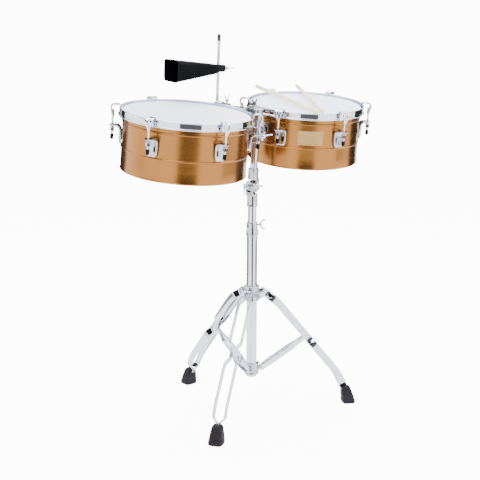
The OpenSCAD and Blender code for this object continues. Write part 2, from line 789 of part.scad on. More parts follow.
// Stick lying across the hoop, from its front tip towards a point at the back
module stick(tip, aim) {
  run = aim - tip;
  drum_frame(1) translate([tip[0], tip[1], stick_d / 2 + 0.1])
    rotate([0, 0, atan2(run[1], run[0])]) rotate([0, 90, 0]) {
      translate([0, 0, 1.5]) cylinder(d = stick_d, h = stick_l - 3);
      cylinder(d1 = stick_d - 3, d2 = stick_d, h = 1.5);
      translate([0, 0, stick_l - 1.5]) cylinder(d1 = stick_d, d2 = stick_d - 3, h = 1.5);
    }
}

module stick_1() color([0.93, 0.86, 0.68]) stick([-92, -157], [6, 248]);
module stick_2() color([0.93, 0.86, 0.68]) stick([-73, -158], [142, 211]);

// ---------- nodes ----------

base_tube();
lower_collar();
lower_pivot_bolts();
upper_collar();
collar_pivot_bolts();
collar_wing_bolt();
leg(0);  // leg_front
leg(1);  // leg_right
leg(2);  // leg_left
leg_rivets(0);  // leg_rivets_front
leg_rivets(1);  // leg_rivets_right
leg_rivets(2);  // leg_rivets_left
foot(0);  // foot_front
foot(1);  // foot_right
foot(2);  // foot_left
brace(0);  // brace_front
brace(1);  // brace_right
brace(2);  // brace_left
height_clamp();
height_wing_bolt();
upper_tube();
tilter_base();
tilter_pin();
tilter_head();
tilter_wing_bolt();
mount_post();
centre_block();
block_wing_bolt();
top_clamp();
top_wing_bolt();
cowbell_arm();
rod_clamp();
rod_wing_bolt();
rod_knob();
cowbell_rod();
cowbell();
bell_clamp();
bell_wing_bolt();
drum(-1) shell(big_r);  // shell_14
drum(-1) head(big_r);  // head_14
drum(-1) hoop(big_r);  // hoop_14
drum(-1) lug_brackets(big_r);  // lug_brackets_14
drum(-1) tension_claws(big_r);  // tension_claws_14
drum(-1) tuning_nuts(big_r);  // tuning_nuts_14
drum(-1) rod_caps(big_r);  // rod_caps_14
drum_mount(-1, big_r);  // drum_mount_14
drum(1) shell(small_r);  // shell_13
drum(1) head(small_r);  // head_13
drum(1) hoop(small_r);  // hoop_13
drum(1) lug_brackets(small_r);  // lug_brackets_13
drum(1) tension_claws(small_r);  // tension_claws_13
drum(1) tuning_nuts(small_r);  // tuning_nuts_13
drum(1) rod_caps(small_r);  // rod_caps_13
drum_mount(1, small_r);  // drum_mount_13
badge();
stick_1();
stick_2();
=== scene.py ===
import math

import bmesh
import bpy
from mathutils import Matrix, Vector
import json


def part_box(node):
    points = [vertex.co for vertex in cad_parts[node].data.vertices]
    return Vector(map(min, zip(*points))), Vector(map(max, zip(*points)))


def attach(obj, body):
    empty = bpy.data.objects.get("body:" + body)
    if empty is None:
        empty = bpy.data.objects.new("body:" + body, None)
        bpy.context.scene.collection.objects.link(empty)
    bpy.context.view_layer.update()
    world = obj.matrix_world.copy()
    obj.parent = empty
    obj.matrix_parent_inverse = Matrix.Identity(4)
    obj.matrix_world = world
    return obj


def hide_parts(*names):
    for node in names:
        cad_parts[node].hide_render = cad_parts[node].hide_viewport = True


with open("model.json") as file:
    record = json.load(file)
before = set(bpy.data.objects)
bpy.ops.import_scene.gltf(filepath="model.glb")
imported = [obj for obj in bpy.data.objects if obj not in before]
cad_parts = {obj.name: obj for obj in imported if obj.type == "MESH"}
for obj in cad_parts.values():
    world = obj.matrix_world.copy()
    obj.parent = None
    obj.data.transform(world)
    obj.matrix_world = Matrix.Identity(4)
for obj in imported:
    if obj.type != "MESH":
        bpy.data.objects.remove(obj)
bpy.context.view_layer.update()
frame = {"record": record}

# -------- frames, in millimetres
MM = 0.001
JOINTS = {j["name"]: j for j in frame["record"]["behaviour"]["joints"]}


def joint_pos(name):
    return Vector(JOINTS[name]["pos_m"]) / MM


def node_box(name):
    lo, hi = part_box(name)
    return lo / MM, hi / MM


def rot(axis, degrees):
    return Matrix.Rotation(math.radians(degrees), 4, axis)


def move(x, y, z):
    return Matrix.Translation(Vector((x, y, z)))


TILTER = joint_pos("tilter_tilt")
TILT = 5.8  # lean of the post and the drums towards -Y, in degrees
VEE = 1.2  # lean of each drum towards the other, in degrees
DRUM_Y, DRUM_Z = 9.9, 925.3  # middle of a hoop's top edge
HOOP_OUT = 10.7  # from a shell to its hoop's outer face
HOOP_GAP = 77.0  # between the two hoops
LUGS = 6
LUG_TURN = -4.9
ROD_OUT = 17.0  # from a hoop's face to its tension rods
FRONT_LEG = -147.5
TILTED = move(*TILTER) @ rot("X", TILT)
LEGS = {"front": FRONT_LEG, "right": FRONT_LEG + 120, "left": FRONT_LEG + 240}
DRUMS = {
    "14": {"side": -1, "r": 177.8, "body": "drum_14"},
    "13": {"side": 1, "r": 165.1, "body": "drum_13"},
}
for d in DRUMS.values():
    d["x"] = d["side"] * (d["r"] + HOOP_OUT + HOOP_GAP / 2)
    d["mat"] = move(d["x"], DRUM_Y, DRUM_Z) @ rot("X", TILT) @ rot("Y", -d["side"] * VEE)


def lug_frames(drum):
    """Frames of a drum's lugs: X outwards from the hoop's outer face, Z up."""
    for k in range(LUGS):
        turn = 360 / LUGS * (k + 0.5) + LUG_TURN
        yield drum["mat"] @ rot("Z", turn) @ move(drum["r"] + HOOP_OUT, 0, 0)


# -------- materials


def new_material(name):
    m = bpy.data.materials.new(name)
    m.use_nodes = True
    nt = m.node_tree
    return m, nt, nt.nodes["Principled BSDF"]


def coords(nt, scale=(1, 1, 1)):
    tc = nt.nodes.new("ShaderNodeTexCoord")
    mp = nt.nodes.new("ShaderNodeMapping")
    mp.inputs["Scale"].default_value = scale
    nt.links.new(tc.outputs["Object"], mp.inputs["Vector"])
    return mp.outputs["Vector"]


def noise(nt, vec, scale, detail=3.0, rough=0.5):
    n = nt.nodes.new("ShaderNodeTexNoise")
    n.inputs["Scale"].default_value = scale
    n.inputs["Detail"].default_value = detail
    n.inputs["Roughness"].default_value = rough
    nt.links.new(vec, n.inputs["Vector"])
    return n.outputs["Fac"]


def ramp(nt, fac, stops):
    r = nt.nodes.new("ShaderNodeValToRGB")
    cr = r.color_ramp
    while len(cr.elements) < len(stops):
        cr.elements.new(0.5)
    for e, (pos, col) in zip(cr.elements, stops):
        e.position = pos
        e.color = (*col, 1) if len(col) == 3 else (col[0], col[0], col[0], 1)
    nt.links.new(fac, r.inputs["Fac"])
    return r.outputs["Color"]


def grey(nt, fac, low, high):
    return ramp(nt, fac, [(0.3, (low,)), (0.7, (high,))])


def bump(nt, height, strength, distance, bsdf):
    b = nt.nodes.new("ShaderNodeBump")
    b.inputs["Strength"].default_value = strength
    b.inputs["Distance"].default_value = distance
    nt.links.new(height, b.inputs["Height"])
    nt.links.new(b.outputs["Normal"], bsdf.inputs["Normal"])


def metal(name, lo, hi, rough, scale=60, bump_strength=0.03, full=1.0):
    """Metal whose colour drifts from lo to hi; full is how metallic it is."""
    m, nt, p = new_material(name)
    p.inputs["Metallic"].default_value = full
    vec = coords(nt)
    nt.links.new(ramp(nt, noise(nt, vec, 14), [(0.25, lo), (0.75, hi)]), p.inputs["Base Color"])
    fine = noise(nt, vec, scale, 4)
    nt.links.new(grey(nt, fine, rough[0], rough[1]), p.inputs["Roughness"])
    bump(nt, fine, bump_strength, 0.0004, p)
    return m


def plastic(name, lo, hi, rough, scale=220, bump_strength=0.15, coat=0.0, spec=0.5):
    """Plastic, rubber, film or paint with a fine grain."""
    m, nt, p = new_material(name)
    vec = coords(nt)
    nt.links.new(ramp(nt, noise(nt, vec, 25), [(0.3, lo), (0.7, hi)]), p.inputs["Base Color"])
    fine = noise(nt, vec, scale, 5)
    nt.links.new(grey(nt, fine, rough[0], rough[1]), p.inputs["Roughness"])
    p.inputs["Coat Weight"].default_value = coat
    p.inputs["Specular IOR Level"].default_value = spec
    bump(nt, fine, bump_strength, 0.0005, p)
    return m


def wood(name):
    """Pale wood, its grain drawn out along Y."""
    m, nt, p = new_material(name)
    vec = coords(nt, (140, 9, 140))
    grain = noise(nt, vec, 1.6, 6, 0.6)
    wide = noise(nt, coords(nt, (30, 6, 30)), 1.2, 2)
    mix = nt.nodes.new("ShaderNodeMath")
    mix.operation = "MULTIPLY_ADD"
    mix.inputs[1].default_value = 0.6
    nt.links.new(grain, mix.inputs[0])
    half = nt.nodes.new("ShaderNodeMath")
    half.operation = "MULTIPLY"
    half.inputs[1].default_value = 0.4
    nt.links.new(wide, half.inputs[0])
    nt.links.new(half.outputs[0], mix.inputs[2])
    stops = [(0.3, (0.62, 0.49, 0.27)), (0.5, (0.8, 0.69, 0.44)), (0.7, (0.88, 0.8, 0.58))]
    nt.links.new(ramp(nt, mix.outputs[0], stops), p.inputs["Base Color"])
    nt.links.new(grey(nt, grain, 0.34, 0.52), p.inputs["Roughness"])
    bump(nt, grain, 0.12, 0.0003, p)
    return m


def shell_metal(name):
    """Polished and lacquered sheet: warm tan metal with faint lines round the drum."""
    m, nt, p = new_material(name)
    p.inputs["Metallic"].default_value = 1.0
    broad = noise(nt, coords(nt, (1, 1, 0.6)), 7, 2)
    col = ramp(nt, broad, [(0.25, (0.275, 0.112, 0.026)), (0.75, (0.335, 0.143, 0.036))])
    nt.links.new(col, p.inputs["Base Color"])
    lines = noise(nt, coords(nt, (6, 6, 900)), 1.0, 3)
    nt.links.new(grey(nt, lines, 0.19, 0.27), p.inputs["Roughness"])
    p.inputs["Coat Weight"].default_value = 0.1
    p.inputs["Coat Roughness"].default_value = 0.06
    bump(nt, lines, 0.04, 0.0003, p)
    return m


M = {
    "chrome": metal("chrome", (0.59, 0.61, 0.68), (0.69, 0.71, 0.79), (0.035, 0.09)),
    "cast_chrome": metal("cast_chrome", (0.36, 0.36, 0.38), (0.52, 0.53, 0.56), (0.08, 0.2),
                         scale=90, bump_strength=0.12),
    "shell_metal": shell_metal("shell_metal"),
    "drum_head": plastic("drum_head", (0.7, 0.78, 0.95), (0.75, 0.82, 0.97), (0.28, 0.4),
                         scale=900, bump_strength=0.03, coat=0.05, spec=0.3),
    "black_plastic": plastic("black_plastic", (0.002, 0.002, 0.0025), (0.005, 0.005, 0.006), (0.3, 0.5),
                             spec=0.08),
    "foot_rubber": plastic("foot_rubber", (0.005, 0.0035, 0.0065), (0.011, 0.008, 0.014), (0.45, 0.7),
                           scale=160, bump_strength=0.35, spec=0.15),
    "bell_paint": plastic("bell_paint", (0.001, 0.001, 0.0018), (0.0022, 0.0022, 0.0034), (0.16, 0.28),
                          scale=900, bump_strength=0.05, spec=0.03),
    "plate_metal": metal("plate_metal", (0.33, 0.2, 0.062), (0.4, 0.25, 0.085), (0.34, 0.5),
                         scale=160, bump_strength=0.06, full=0.5),
    "stick_wood": wood("stick_wood"),
    "dark_metal": metal("dark_metal", (0.05, 0.05, 0.055), (0.1, 0.1, 0.11), (0.25, 0.4),
                        scale=120, bump_strength=0.1),
}

# -------- mesh helpers


class Piece:
    """Collects geometry in millimetres and becomes one object that rides on a body."""

    def __init__(self):
        self.bm = bmesh.new()

    def quad_rows(self, rows, mat=None, wrap=True, close=False):
        """Skins a list of equal rows of points. wrap joins each row's ends; close joins last row to first."""
        mat = mat or Matrix()
        vs = [[self.bm.verts.new(mat @ Vector(p)) for p in row] for row in rows]
        n, m = len(vs), len(vs[0])
        for i in range(n if close else n - 1):
            a, b = vs[i], vs[(i + 1) % n]
            for j in range(m if wrap else m - 1):
                k = (j + 1) % m
                self.bm.faces.new((a[j], a[k], b[k], b[j]))
        return vs

    def cap(self, ring, flip=False):
        self.bm.faces.new(list(reversed(ring)) if flip else ring)

    def loft(self, rows, mat=None):
        """Skins closed rows of points and closes both ends."""
        vs = self.quad_rows(rows, mat)
        self.cap(vs[0], True)
        self.cap(vs[-1])

    def lathe(self, profile, mat=None, segs=48, closed=False):
        """Revolves (radius, height) points round Z. Points at radius 0 become poles."""
        mat = mat or Matrix()
        rows = []
        for r, z in profile:
            if r < 1e-6:
                rows.append([self.bm.verts.new(mat @ Vector((0, 0, z)))])
            else:
                ring = []
                for i in range(segs):
                    a = 2 * math.pi * i / segs
                    ring.append(self.bm.verts.new(mat @ Vector((r * math.cos(a), r * math.sin(a), z))))
                rows.append(ring)
        n = len(rows)
        for i in range(n if closed else n - 1):
            a, b = rows[i], rows[(i + 1) % n]
            if len(a) == 1 and len(b) == 1:
                continue
            for j in range(segs):
                k = (j + 1) % segs
                if len(a) == 1:
                    self.bm.faces.new((a[0], b[k], b[j]))
                elif len(b) == 1:
                    self.bm.faces.new((a[j], a[k], b[0]))
                else:
                    self.bm.faces.new((a[j], a[k], b[k], b[j]))

    def prism(self, outline, z0, z1, mat=None):
        """Solid between two heights over an outline of (x, y) points."""
        mat = mat or Matrix()
        low = [self.bm.verts.new(mat @ Vector((x, y, z0))) for x, y in outline]
        top = [self.bm.verts.new(mat @ Vector((x, y, z1))) for x, y in outline]
        n = len(outline)
        for i in range(n):
            k = (i + 1) % n
            self.bm.faces.new((low[i], low[k], top[k], top[i]))
        self.cap(low, True)
        self.cap(top)

    def rod(self, r, z0, z1, mat=None, segs=32, chamfer=0.6):
        """Round bar along Z with chamfered ends."""
        c = min(chamfer, r * 0.4, (z1 - z0) * 0.4)
        self.lathe([(0, z0), (r - c, z0), (r, z0 + c), (r, z1 - c), (r - c, z1), (0, z1)], mat, segs)

    def hexagon(self, flats, z0, z1, mat=None, hole=0.0):
        """Hexagonal nut with chamfered corners; without a hole it is a solid head."""
        r = flats / math.sqrt(3)
        c = 0.12 * r
        prof = [(hole, z0), (r - c, z0), (r, z0 + c * 0.6), (r, z1 - c * 0.6), (r - c, z1), (hole, z1)]
        self.lathe(prof, mat, 6, hole > 0)

    def blade(self, stations, mat=None):
        """Lofted blade along the XZ plane: stations are (x, z, half width, half thickness)."""
        sides = 12
        rows = []
        for i, (x, z, half_w, half_t) in enumerate(stations):
            a, b = stations[max(i - 1, 0)], stations[min(i + 1, len(stations) - 1)]
            t = Vector((b[0] - a[0], 0, b[1] - a[1])).normalized()
            row = []
            for j in range(sides):
                u = 2 * math.pi * j / sides
                w = half_w * math.cos(u)
                row.append((x + t.z * w, half_t * math.sin(u), z - t.x * w))
            rows.append(row)
        self.loft(rows, mat)

    def finish(self, name, material, body, replaces=(), bevel=0.0, subsurf=0, solidify=0.0,
               sharp=38.0):
        """Makes the object, in metres, and hangs it on its body. sharp is the angle of a hard edge."""
        bm = self.bm
        bmesh.ops.remove_doubles(bm, verts=bm.verts, dist=0.001)
        bmesh.ops.recalc_face_normals(bm, faces=bm.faces)
        for v in bm.verts:
            v.co *= MM
        for f in bm.faces:
            f.smooth = True
        limit = math.radians(sharp)
        if not subsurf:
            for e in bm.edges:
                if len(e.link_faces) == 2 and e.calc_face_angle(0) > limit:
                    e.smooth = bevel > 0
        me = bpy.data.meshes.new(name)
        bm.to_mesh(me)
        bm.free()
        me.materials.append(M[material])
        ob = bpy.data.objects.new(name, me)
        bpy.context.scene.collection.objects.link(ob)
        if solidify:
            s = ob.modifiers.new("thickness", "SOLIDIFY")
            s.thickness = solidify * MM
            s.offset = -1
            s.use_even_offset = True
        if bevel:
            b = ob.modifiers.new("edges", "BEVEL")
            b.width = bevel * MM
            b.segments = 2
            b.limit_method = "ANGLE"
            b.angle_limit = math.radians(32)
        if subsurf:
            s = ob.modifiers.new("surface", "SUBSURF")
            s.levels = subsurf
            s.render_levels = subsurf
        if bevel:
            ob.modifiers.new("normals", "WEIGHTED_NORMAL").keep_sharp = True
        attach(ob, body)
        if replaces:
            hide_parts(*replaces)


def smoothstep(t):
    t = max(0.0, min(1.0, t))
    return t * t * (3 - 2 * t)


def arc(cx, cz, r, a0, a1, n):
    """Points (x, z) on an arc, angles in degrees."""
    out = []
    for i in range(n + 1):
        a = math.radians(a0 + (a1 - a0) * i / n)
        out.append((cx + r * math.cos(a), cz + r * math.sin(a)))
    return out


def round_rect(w, h, r, n=6):
    """Rounded rectangle outline, w by h over all."""
    out = []
    for cx, cy, a in ((w / 2 - r, h / 2 - r, 0), (r - w / 2, h / 2 - r, 90), (r - w / 2, r - h / 2, 180),
                      (w / 2 - r, r - h / 2, 270)):
        for i in range(n + 1):
            t = math.radians(a + 90 * i / n)
            out.append((cx + r * math.cos(t), cy + r * math.sin(t)))
    return out


def aim_z(origin, direction, up=(0, 0, 1)):
    """Frame at origin whose Z points along direction."""
    z = Vector(direction).normalized()
    x = Vector(up).cross(z)
    if x.length < 1e-6:
        x = Vector((1, 0, 0))
    x.normalize()
    y = z.cross(x)
    m = Matrix((x, y, z)).transposed().to_4x4()
    return move(*origin) @ m


# -------- drums
# Heights run along a drum's axis, from 0 at the hoop's top edge
SHELL_T = 1.5
SHELL_BOTTOM = -171.6
BEADS = (-36.0, -108.0)
BEAD_H = 4.5  # from a bead's middle to the plain wall
DRUM_SEGS = 192
ARM_DROP = 72.0  # height of the arms and of their brackets, below the hoop's edge


def bead_outer(r, z):
    """Outside of a raised bead, from the top down."""
    return arc(r - 0.8, z, 3.2, 75, -75, 10)


def bead_inner(r, z):
    """Inside of a raised bead, from the bottom up."""
    return arc(r - 2.3, z, 2.6, -72, 72, 8)


def build_shell(key, d):
    """Sheet shell with two beads and a rolled lower edge."""
    r = d["r"]
    inside = r - SHELL_T
    high, low = BEADS
    prof = [(inside, -7), (r - 0.4, -7), (r, -7.6), (r, high + BEAD_H)]
    prof += bead_outer(r, high) + [(r, high - BEAD_H), (r, -70), (r, low + BEAD_H)]
    prof += bead_outer(r, low) + [(r, low - BEAD_H), (r, -140), (r, SHELL_BOTTOM + 4.2)]
    prof += arc(r - 0.4, SHELL_BOTTOM + 1.7, 1.7, 70, -190, 12)
    prof += [(inside, SHELL_BOTTOM + 5), (inside, low - BEAD_H)]
    prof += bead_inner(r, low) + [(inside, low + BEAD_H), (inside, high - BEAD_H)]
    prof += bead_inner(r, high) + [(inside, high + BEAD_H)]
    p = Piece()
    p.lathe(prof, d["mat"], DRUM_SEGS, True)
    p.finish("shell_" + key + "_sheet", "shell_metal", d["body"], ["shell_" + key], sharp=60)


def build_head(key, d):
    """Film over the shell's edge, down to the flesh ring under the hoop."""
    r = d["r"]
    prof = [(r * k, -6) for k in (0, 0.3, 0.6, 0.85)] + [(r - 6, -6), (r - 2.5, -6), (r + 0.2, -6.1)]
    prof += arc(r + 0.2, -8, 1.9, 80, 0, 5)
    prof += [(r + 2.1, -12.6), (r + 6.4, -13), (r + 6.5, -14), (r + 6.5, -16.6), (r + 6, -17.4)]
    prof += [(r + 1.2, -17.4), (r + 0.6, -16.6), (r + 0.9, -14.5), (r + 1.25, -12), (r + 1.25, -8.6)]
    prof += [(r + 0.4, -6.85), (r - 6, -6.7), (r * 0.6, -6.7), (0, -6.7)]
    p = Piece()
    p.lathe(prof, d["mat"], DRUM_SEGS)
    p.finish("head_" + key + "_film", "drum_head", d["body"], ["head_" + key], sharp=50)


def build_hoop(key, d):
    """Flanged hoop with a rolled lip above, a rolled foot below and a ledge on the flesh ring."""
    r = d["r"]
    o = r + HOOP_OUT
    prof = arc(o - 1.35, -1.5, 1.5, -30, 170, 8)
    prof += [(o - 2.6, -3.2), (o - 2.35, -6), (o - 2.35, -9.8), (o - 4, -10.4), (r + 3.2, -10.4)]
    prof += [(r + 2.7, -10.9), (r + 2.7, -12.2), (r + 3.2, -12.7), (o - 2.4, -12.7), (o - 2.35, -16.5)]
    prof += arc(o - 0.4, -19.3, 2.9, 190, 400, 12)
    prof += [(o, -16.4), (o - 0.02, -9), (o - 0.02, -3.4)]
    p = Piece()
    p.lathe(prof, d["mat"], DRUM_SEGS, True)
    p.finish("hoop_" + key + "_band", "chrome", d["body"], ["hoop_" + key], sharp=50)


def mirrored(half, middle):
    """Section from edge to edge, out of the half from an edge inwards and the middle point."""
    return [(-y, k) for y, k in half] + [middle] + half[::-1]


def bent_sheet(p, mat, stations, section):
    """Skins a bent sheet. Stations are (x, z, half width, depth), and section gives (y, lift) across each."""
    rows = []
    for i, (x, z, w, depth) in enumerate(stations):
        a, b = stations[max(i - 1, 0)], stations[min(i + 1, len(stations) - 1)]
        t = Vector((b[0] - a[0], 0, b[1] - a[1])).normalized()
        n = Vector((t.z, 0, -t.x))
        rows.append([Vector((x, y, z)) + n * lift for y, lift in section(i, w, depth)])
    p.quad_rows(rows, mat, wrap=False)


# Bracket seen from the side: x outwards from the hoop's face, z, half width, depth of its turned edge
BRACKET = [
    (-10.4, -104.4, 9.0, 0.6), (-6.0, -104.2, 10.5, 3.5), (-3.6, -102.6, 12.2, 6.0),
    (-2.7, -99.0, 14.6, 8.0), (-2.5, -94.0, 16.0, 8.2), (-2.5, -84.0, 16.8, 8.2),
    (-2.5, -74.0, 17.2, 8.2), (-2.3, -67.0, 17.2, 8.2), (-1.6, -62.0, 17.2, 8.0),
    (0.6, -58.2, 17.0, 6.5), (4.4, -56.2, 16.4, 5.0), (9.5, -55.4, 15.2, 4.0),
    (15.0, -55.1, 13.4, 3.6), (20.0, -55.1, 11.0, 3.4), (24.0, -55.3, 7.6, 3.2), (26.2, -55.8, 4.0, 2.6),
]


def bracket_section(_, w, back):
    """Flat in the middle, with both edges turned back."""
    half = [(w, 1.0), (w, 0.45), (w - 0.5, 0.12), (w - 1.8, 0.0), (w * 0.5, 0.0)]
    return [(y, -back * k) for y, k in mirrored(half, (0, 0.0))]


def build_brackets(key, d):
    p = Piece()
    for mat in lug_frames(d):
        bent_sheet(p, mat, BRACKET, bracket_section)
    p.finish("lug_brackets_" + key + "_trays", "cast_chrome", d["body"], ["lug_brackets_" + key],
             solidify=1.6, subsurf=1)
    # Round heads of the screws that hold the brackets, inside the shell
    q = Piece()
    for mat in lug_frames(d):
        for z in (-72.0, -94.0):
            at = mat @ move(-HOOP_OUT - SHELL_T, 0, z) @ rot("Y", -90)
            q.lathe([(0, 4.2), (2.2, 4), (4, 3), (5, 1.4), (5.2, 0), (7.2, 0), (7.2, -1)], at, 20)
    q.finish("bracket_screws_" + key, "chrome", d["body"], sharp=50)


# Claw seen from the side: x, z, half width, depth of its middle groove
CLAW = [
    (-4.9, -4.5, 7.0, 0.0), (-5.3, -1.0, 8.2, 0.0), (-5.1, 2.2, 9.2, 0.0), (-3.6, 4.9, 9.9, 0.0),
    (0.0, 6.2, 10.5, 0.0), (6.0, 6.6, 11.2, 0.2), (12.0, 6.4, 11.8, 0.6), (17.5, 5.4, 12.2, 1.4),
    (21.8, 3.0, 12.4, 2.4), (24.2, -0.8, 12.2, 3.0), (24.9, -5.5, 11.4, 3.2), (24.6, -10.5, 9.9, 3.0),
    (23.6, -15.5, 7.9, 2.4), (22.4, -20.0, 6.2, 1.6), (21.4, -24.0, 5.0, 0.9), (20.9, -27.5, 4.6, 0.4),
]


def claw_section(i, w, groove):
    """Grooved in the middle, with sides that deepen down the claw."""
    side = min(5.5, 1.6 + 0.32 * i)
    half = [(w, side), (w, 1.6), (w - 0.8, 0.35), (w - 2.2, 0.0), (w * 0.42, 0.1), (w * 0.24, 0.5 * groove)]
    return mirrored(half, (0, groove))


PITCH = 0.9


def thread(r, start, end):
    """Outline of a thread of radius r from start to end, upwards or downwards."""
    step = math.copysign(PITCH, end - start)
    out = []
    z = start
    while (end - z) * step > 0:
        out += [(r, z), (r - 0.35, z + step / 2)]
        z += step
    return out


def build_claws(key, d):
    p = Piece()
    for mat in lug_frames(d):
        bent_sheet(p, mat, CLAW, claw_section)
    p.finish("tension_claws_" + key + "_hooks", "chrome", d["body"], ["tension_claws_" + key],
             solidify=2.6, subsurf=1)
    prof = [(0, -9.5), (3.6, -9.8), (4.6, -11), (4.7, -27), (4.4, -28.6), (3.1, -29.4), (3.1, -58)]
    prof += thread(3.1, -58.0, -87.5) + [(2.7, -88.4), (0, -88.8)]
    q = Piece()
    for mat in lug_frames(d):
        q.lathe(prof, mat @ move(ROD_OUT, 0, 0), 24)
    q.finish("tension_rods_" + key, "chrome", d["body"], sharp=50)


def build_nuts(key, d):
    """Washers and nuts under the brackets, and the caps on the rods' ends."""
    washer = [(3.3, -59.2), (7.3, -59.2), (7.6, -59.6), (7.6, -60.5), (7.3, -60.8), (3.3, -60.8)]
    cap = [(3.3, -79), (4.4, -79), (4.9, -79.6), (5, -81), (5, -89.5)]
    cap += arc(0, -90, 5, -6, -90, 8)[:-1] + [(0, -95)]
    p = Piece()
    q = Piece()
    for mat in lug_frames(d):
        at = mat @ move(ROD_OUT, 0, 0)
        p.lathe(washer, at, 32, True)
        p.hexagon(11.0, -71.0, -60.9, at, 3.2)
        q.lathe(cap, at, 28)
    p.finish("tuning_nuts_" + key + "_set", "chrome", d["body"], ["tuning_nuts_" + key], bevel=0.3, sharp=25)
    q.finish("rod_caps_" + key + "_set", "black_plastic", d["body"], ["rod_caps_" + key], sharp=50)


def build_drum_mount(key, d):
    """Plate curved to the shell, with a boss for the arm and four bolts."""
    r = d["r"]
    base = d["mat"] @ rot("Z", 0 if d["side"] < 0 else 180)
    inner = []
    for dz, inset in ((-29.5, 3.5), (-26, 0), (0, 0), (26, 0), (29.5, 3.5)):
        turns = [i / 8 * (25.5 - inset) / r for i in range(-8, 9)]
        inner.append([(r * math.cos(a), r * math.sin(a), dz - ARM_DROP) for a in turns])
    grow = (r + 4.2) / r
    outer = [[(x * grow, y * grow, z) for x, y, z in row] for row in inner]
    p = Piece()
    vs = p.quad_rows([[*a, *reversed(b)] for a, b in zip(inner, outer)], base)
    m = len(inner[0])
    for ring, flip in ((vs[0], False), (vs[-1], True)):
        for j in range(m - 1):
            p.cap([ring[j], ring[j + 1], ring[2 * m - 2 - j], ring[2 * m - 1 - j]], flip)
    boss = [(6.5, 2.2), (19, 3.2), (18.2, 5), (15.4, 7.5), (14.8, 13.4), (13.8, 14.8), (6.5, 14.8)]
    p.lathe(boss, base @ move(r, 0, -ARM_DROP) @ rot("Y", 90), 48, True)
    for y in (-19, 19):
        for dz in (-21, 21):
            at = base @ rot("Z", math.degrees(y / r)) @ move(r + 4, 0, dz - ARM_DROP) @ rot("Y", 90)
            p.hexagon(8.0, 0.0, 3.4, at)
    p.finish("drum_mount_" + key + "_casting", "cast_chrome", d["body"], ["drum_mount_" + key], bevel=0.8)


BADGE_W, BADGE_H = 38.0, 21.0  # half the plate's width and height
BADGE_Z = -76.0
BADGE_TURN = -125.0


def build_badge(d):
    """Blank plate with a raised border and a plain sunken panel, curved to the shell."""
    r = d["r"]
    cols, levels = 36, 24
    rows = []
    for j in range(levels + 1):
        v = j / levels * 2 - 1
        row = []
        for i in range(cols + 1):
            u = i / cols * 2 - 1
            edge = min(BADGE_W * (1 - abs(u)), BADGE_H * (1 - abs(v)))
            out = r + 0.15 + 1.15 * smoothstep(edge / 0.9) - 0.75 * smoothstep((edge - 2.6) / 0.8)
            a = u * BADGE_W / r
            row.append((out * math.cos(a), out * math.sin(a), BADGE_Z + v * BADGE_H))
        rows.append(row)
    p = Piece()
    p.quad_rows(rows, d["mat"] @ rot("Z", BADGE_TURN), wrap=False)
    p.finish("name_plate", "plate_metal", d["body"], ["badge"], sharp=60)


for key, drum in DRUMS.items():
    build_shell(key, drum)
    build_head(key, drum)
    build_hoop(key, drum)
    build_brackets(key, drum)
    build_claws(key, drum)
    build_nuts(key, drum)
    build_drum_mount(key, drum)
build_badge(DRUMS["13"])

# -------- sticks
STICK_R = 5.75
STICK_L = 416.0


def build_stick(name, node, body, tip, aim):
    """Stick that lies on the smaller drum's hoop plane, from tip towards aim."""
    run = Vector(aim) - Vector(tip)
    turn = math.degrees(math.atan2(run.y, run.x))
    at = DRUMS["13"]["mat"] @ move(*tip, STICK_R + 0.1) @ rot("Z", turn) @ rot("Y", 90)
    r = STICK_R
    prof = [(0, 0), (r * 0.55, 0.25), (r * 0.86, 1.2), (r, 3)]
    prof += [(r, 3 + (STICK_L - 6) * i / 12) for i in range(1, 13)]
    prof += [(r * 0.86, STICK_L - 1.2), (r * 0.55, STICK_L - 0.25), (0, STICK_L)]
    p = Piece()
    p.lathe(prof, at, 32)
    p.finish(name, "stick_wood", body, [node], sharp=60)


build_stick("drumstick_a", "stick_1", "stick_a", (-92, -157), (6, 248))
build_stick("drumstick_b", "stick_2", "stick_b", (-73, -158), (142, 211))

# -------- tripod
# Points in a leg's upright plane, as (distance from the stand's axis, height)
PIVOT = (34.0, 370.0)
KNEE = (78.0, 337.0)
BEND = (268.0, 103.0)
END = (303.0, 30.0)
JOINT_S = 0.485  # the brace's place between knee and bend
BRACE_AT = tuple(KNEE[i] + (BEND[i] - KNEE[i]) * JOINT_S for i in range(2))
BRACE_FROM = (30.0, 131.0)
LEG_W, LEG_T = 23.0, 3.0
TOP_GAP, JOINT_GAP, FOOT_GAP, BOW = 4.4, 4.0, 1.5, 16.0  # half gaps between a leg's strips
RAMP = 19.0  # length over which the strips draw apart or together
CAP_STEPS = (1.0, 0.97, 0.87, 0.7, 0.5, 0.25)
STRIP_SECTION = [(1, -0.5), (0.93, -0.9), (0.8, -1), (-0.8, -1), (-0.93, -0.9), (-1, -0.5),
                 (-1, 0.5), (-0.93, 0.9), (-0.8, 1), (0.8, 1), (0.93, 0.9), (1, 0.5)]


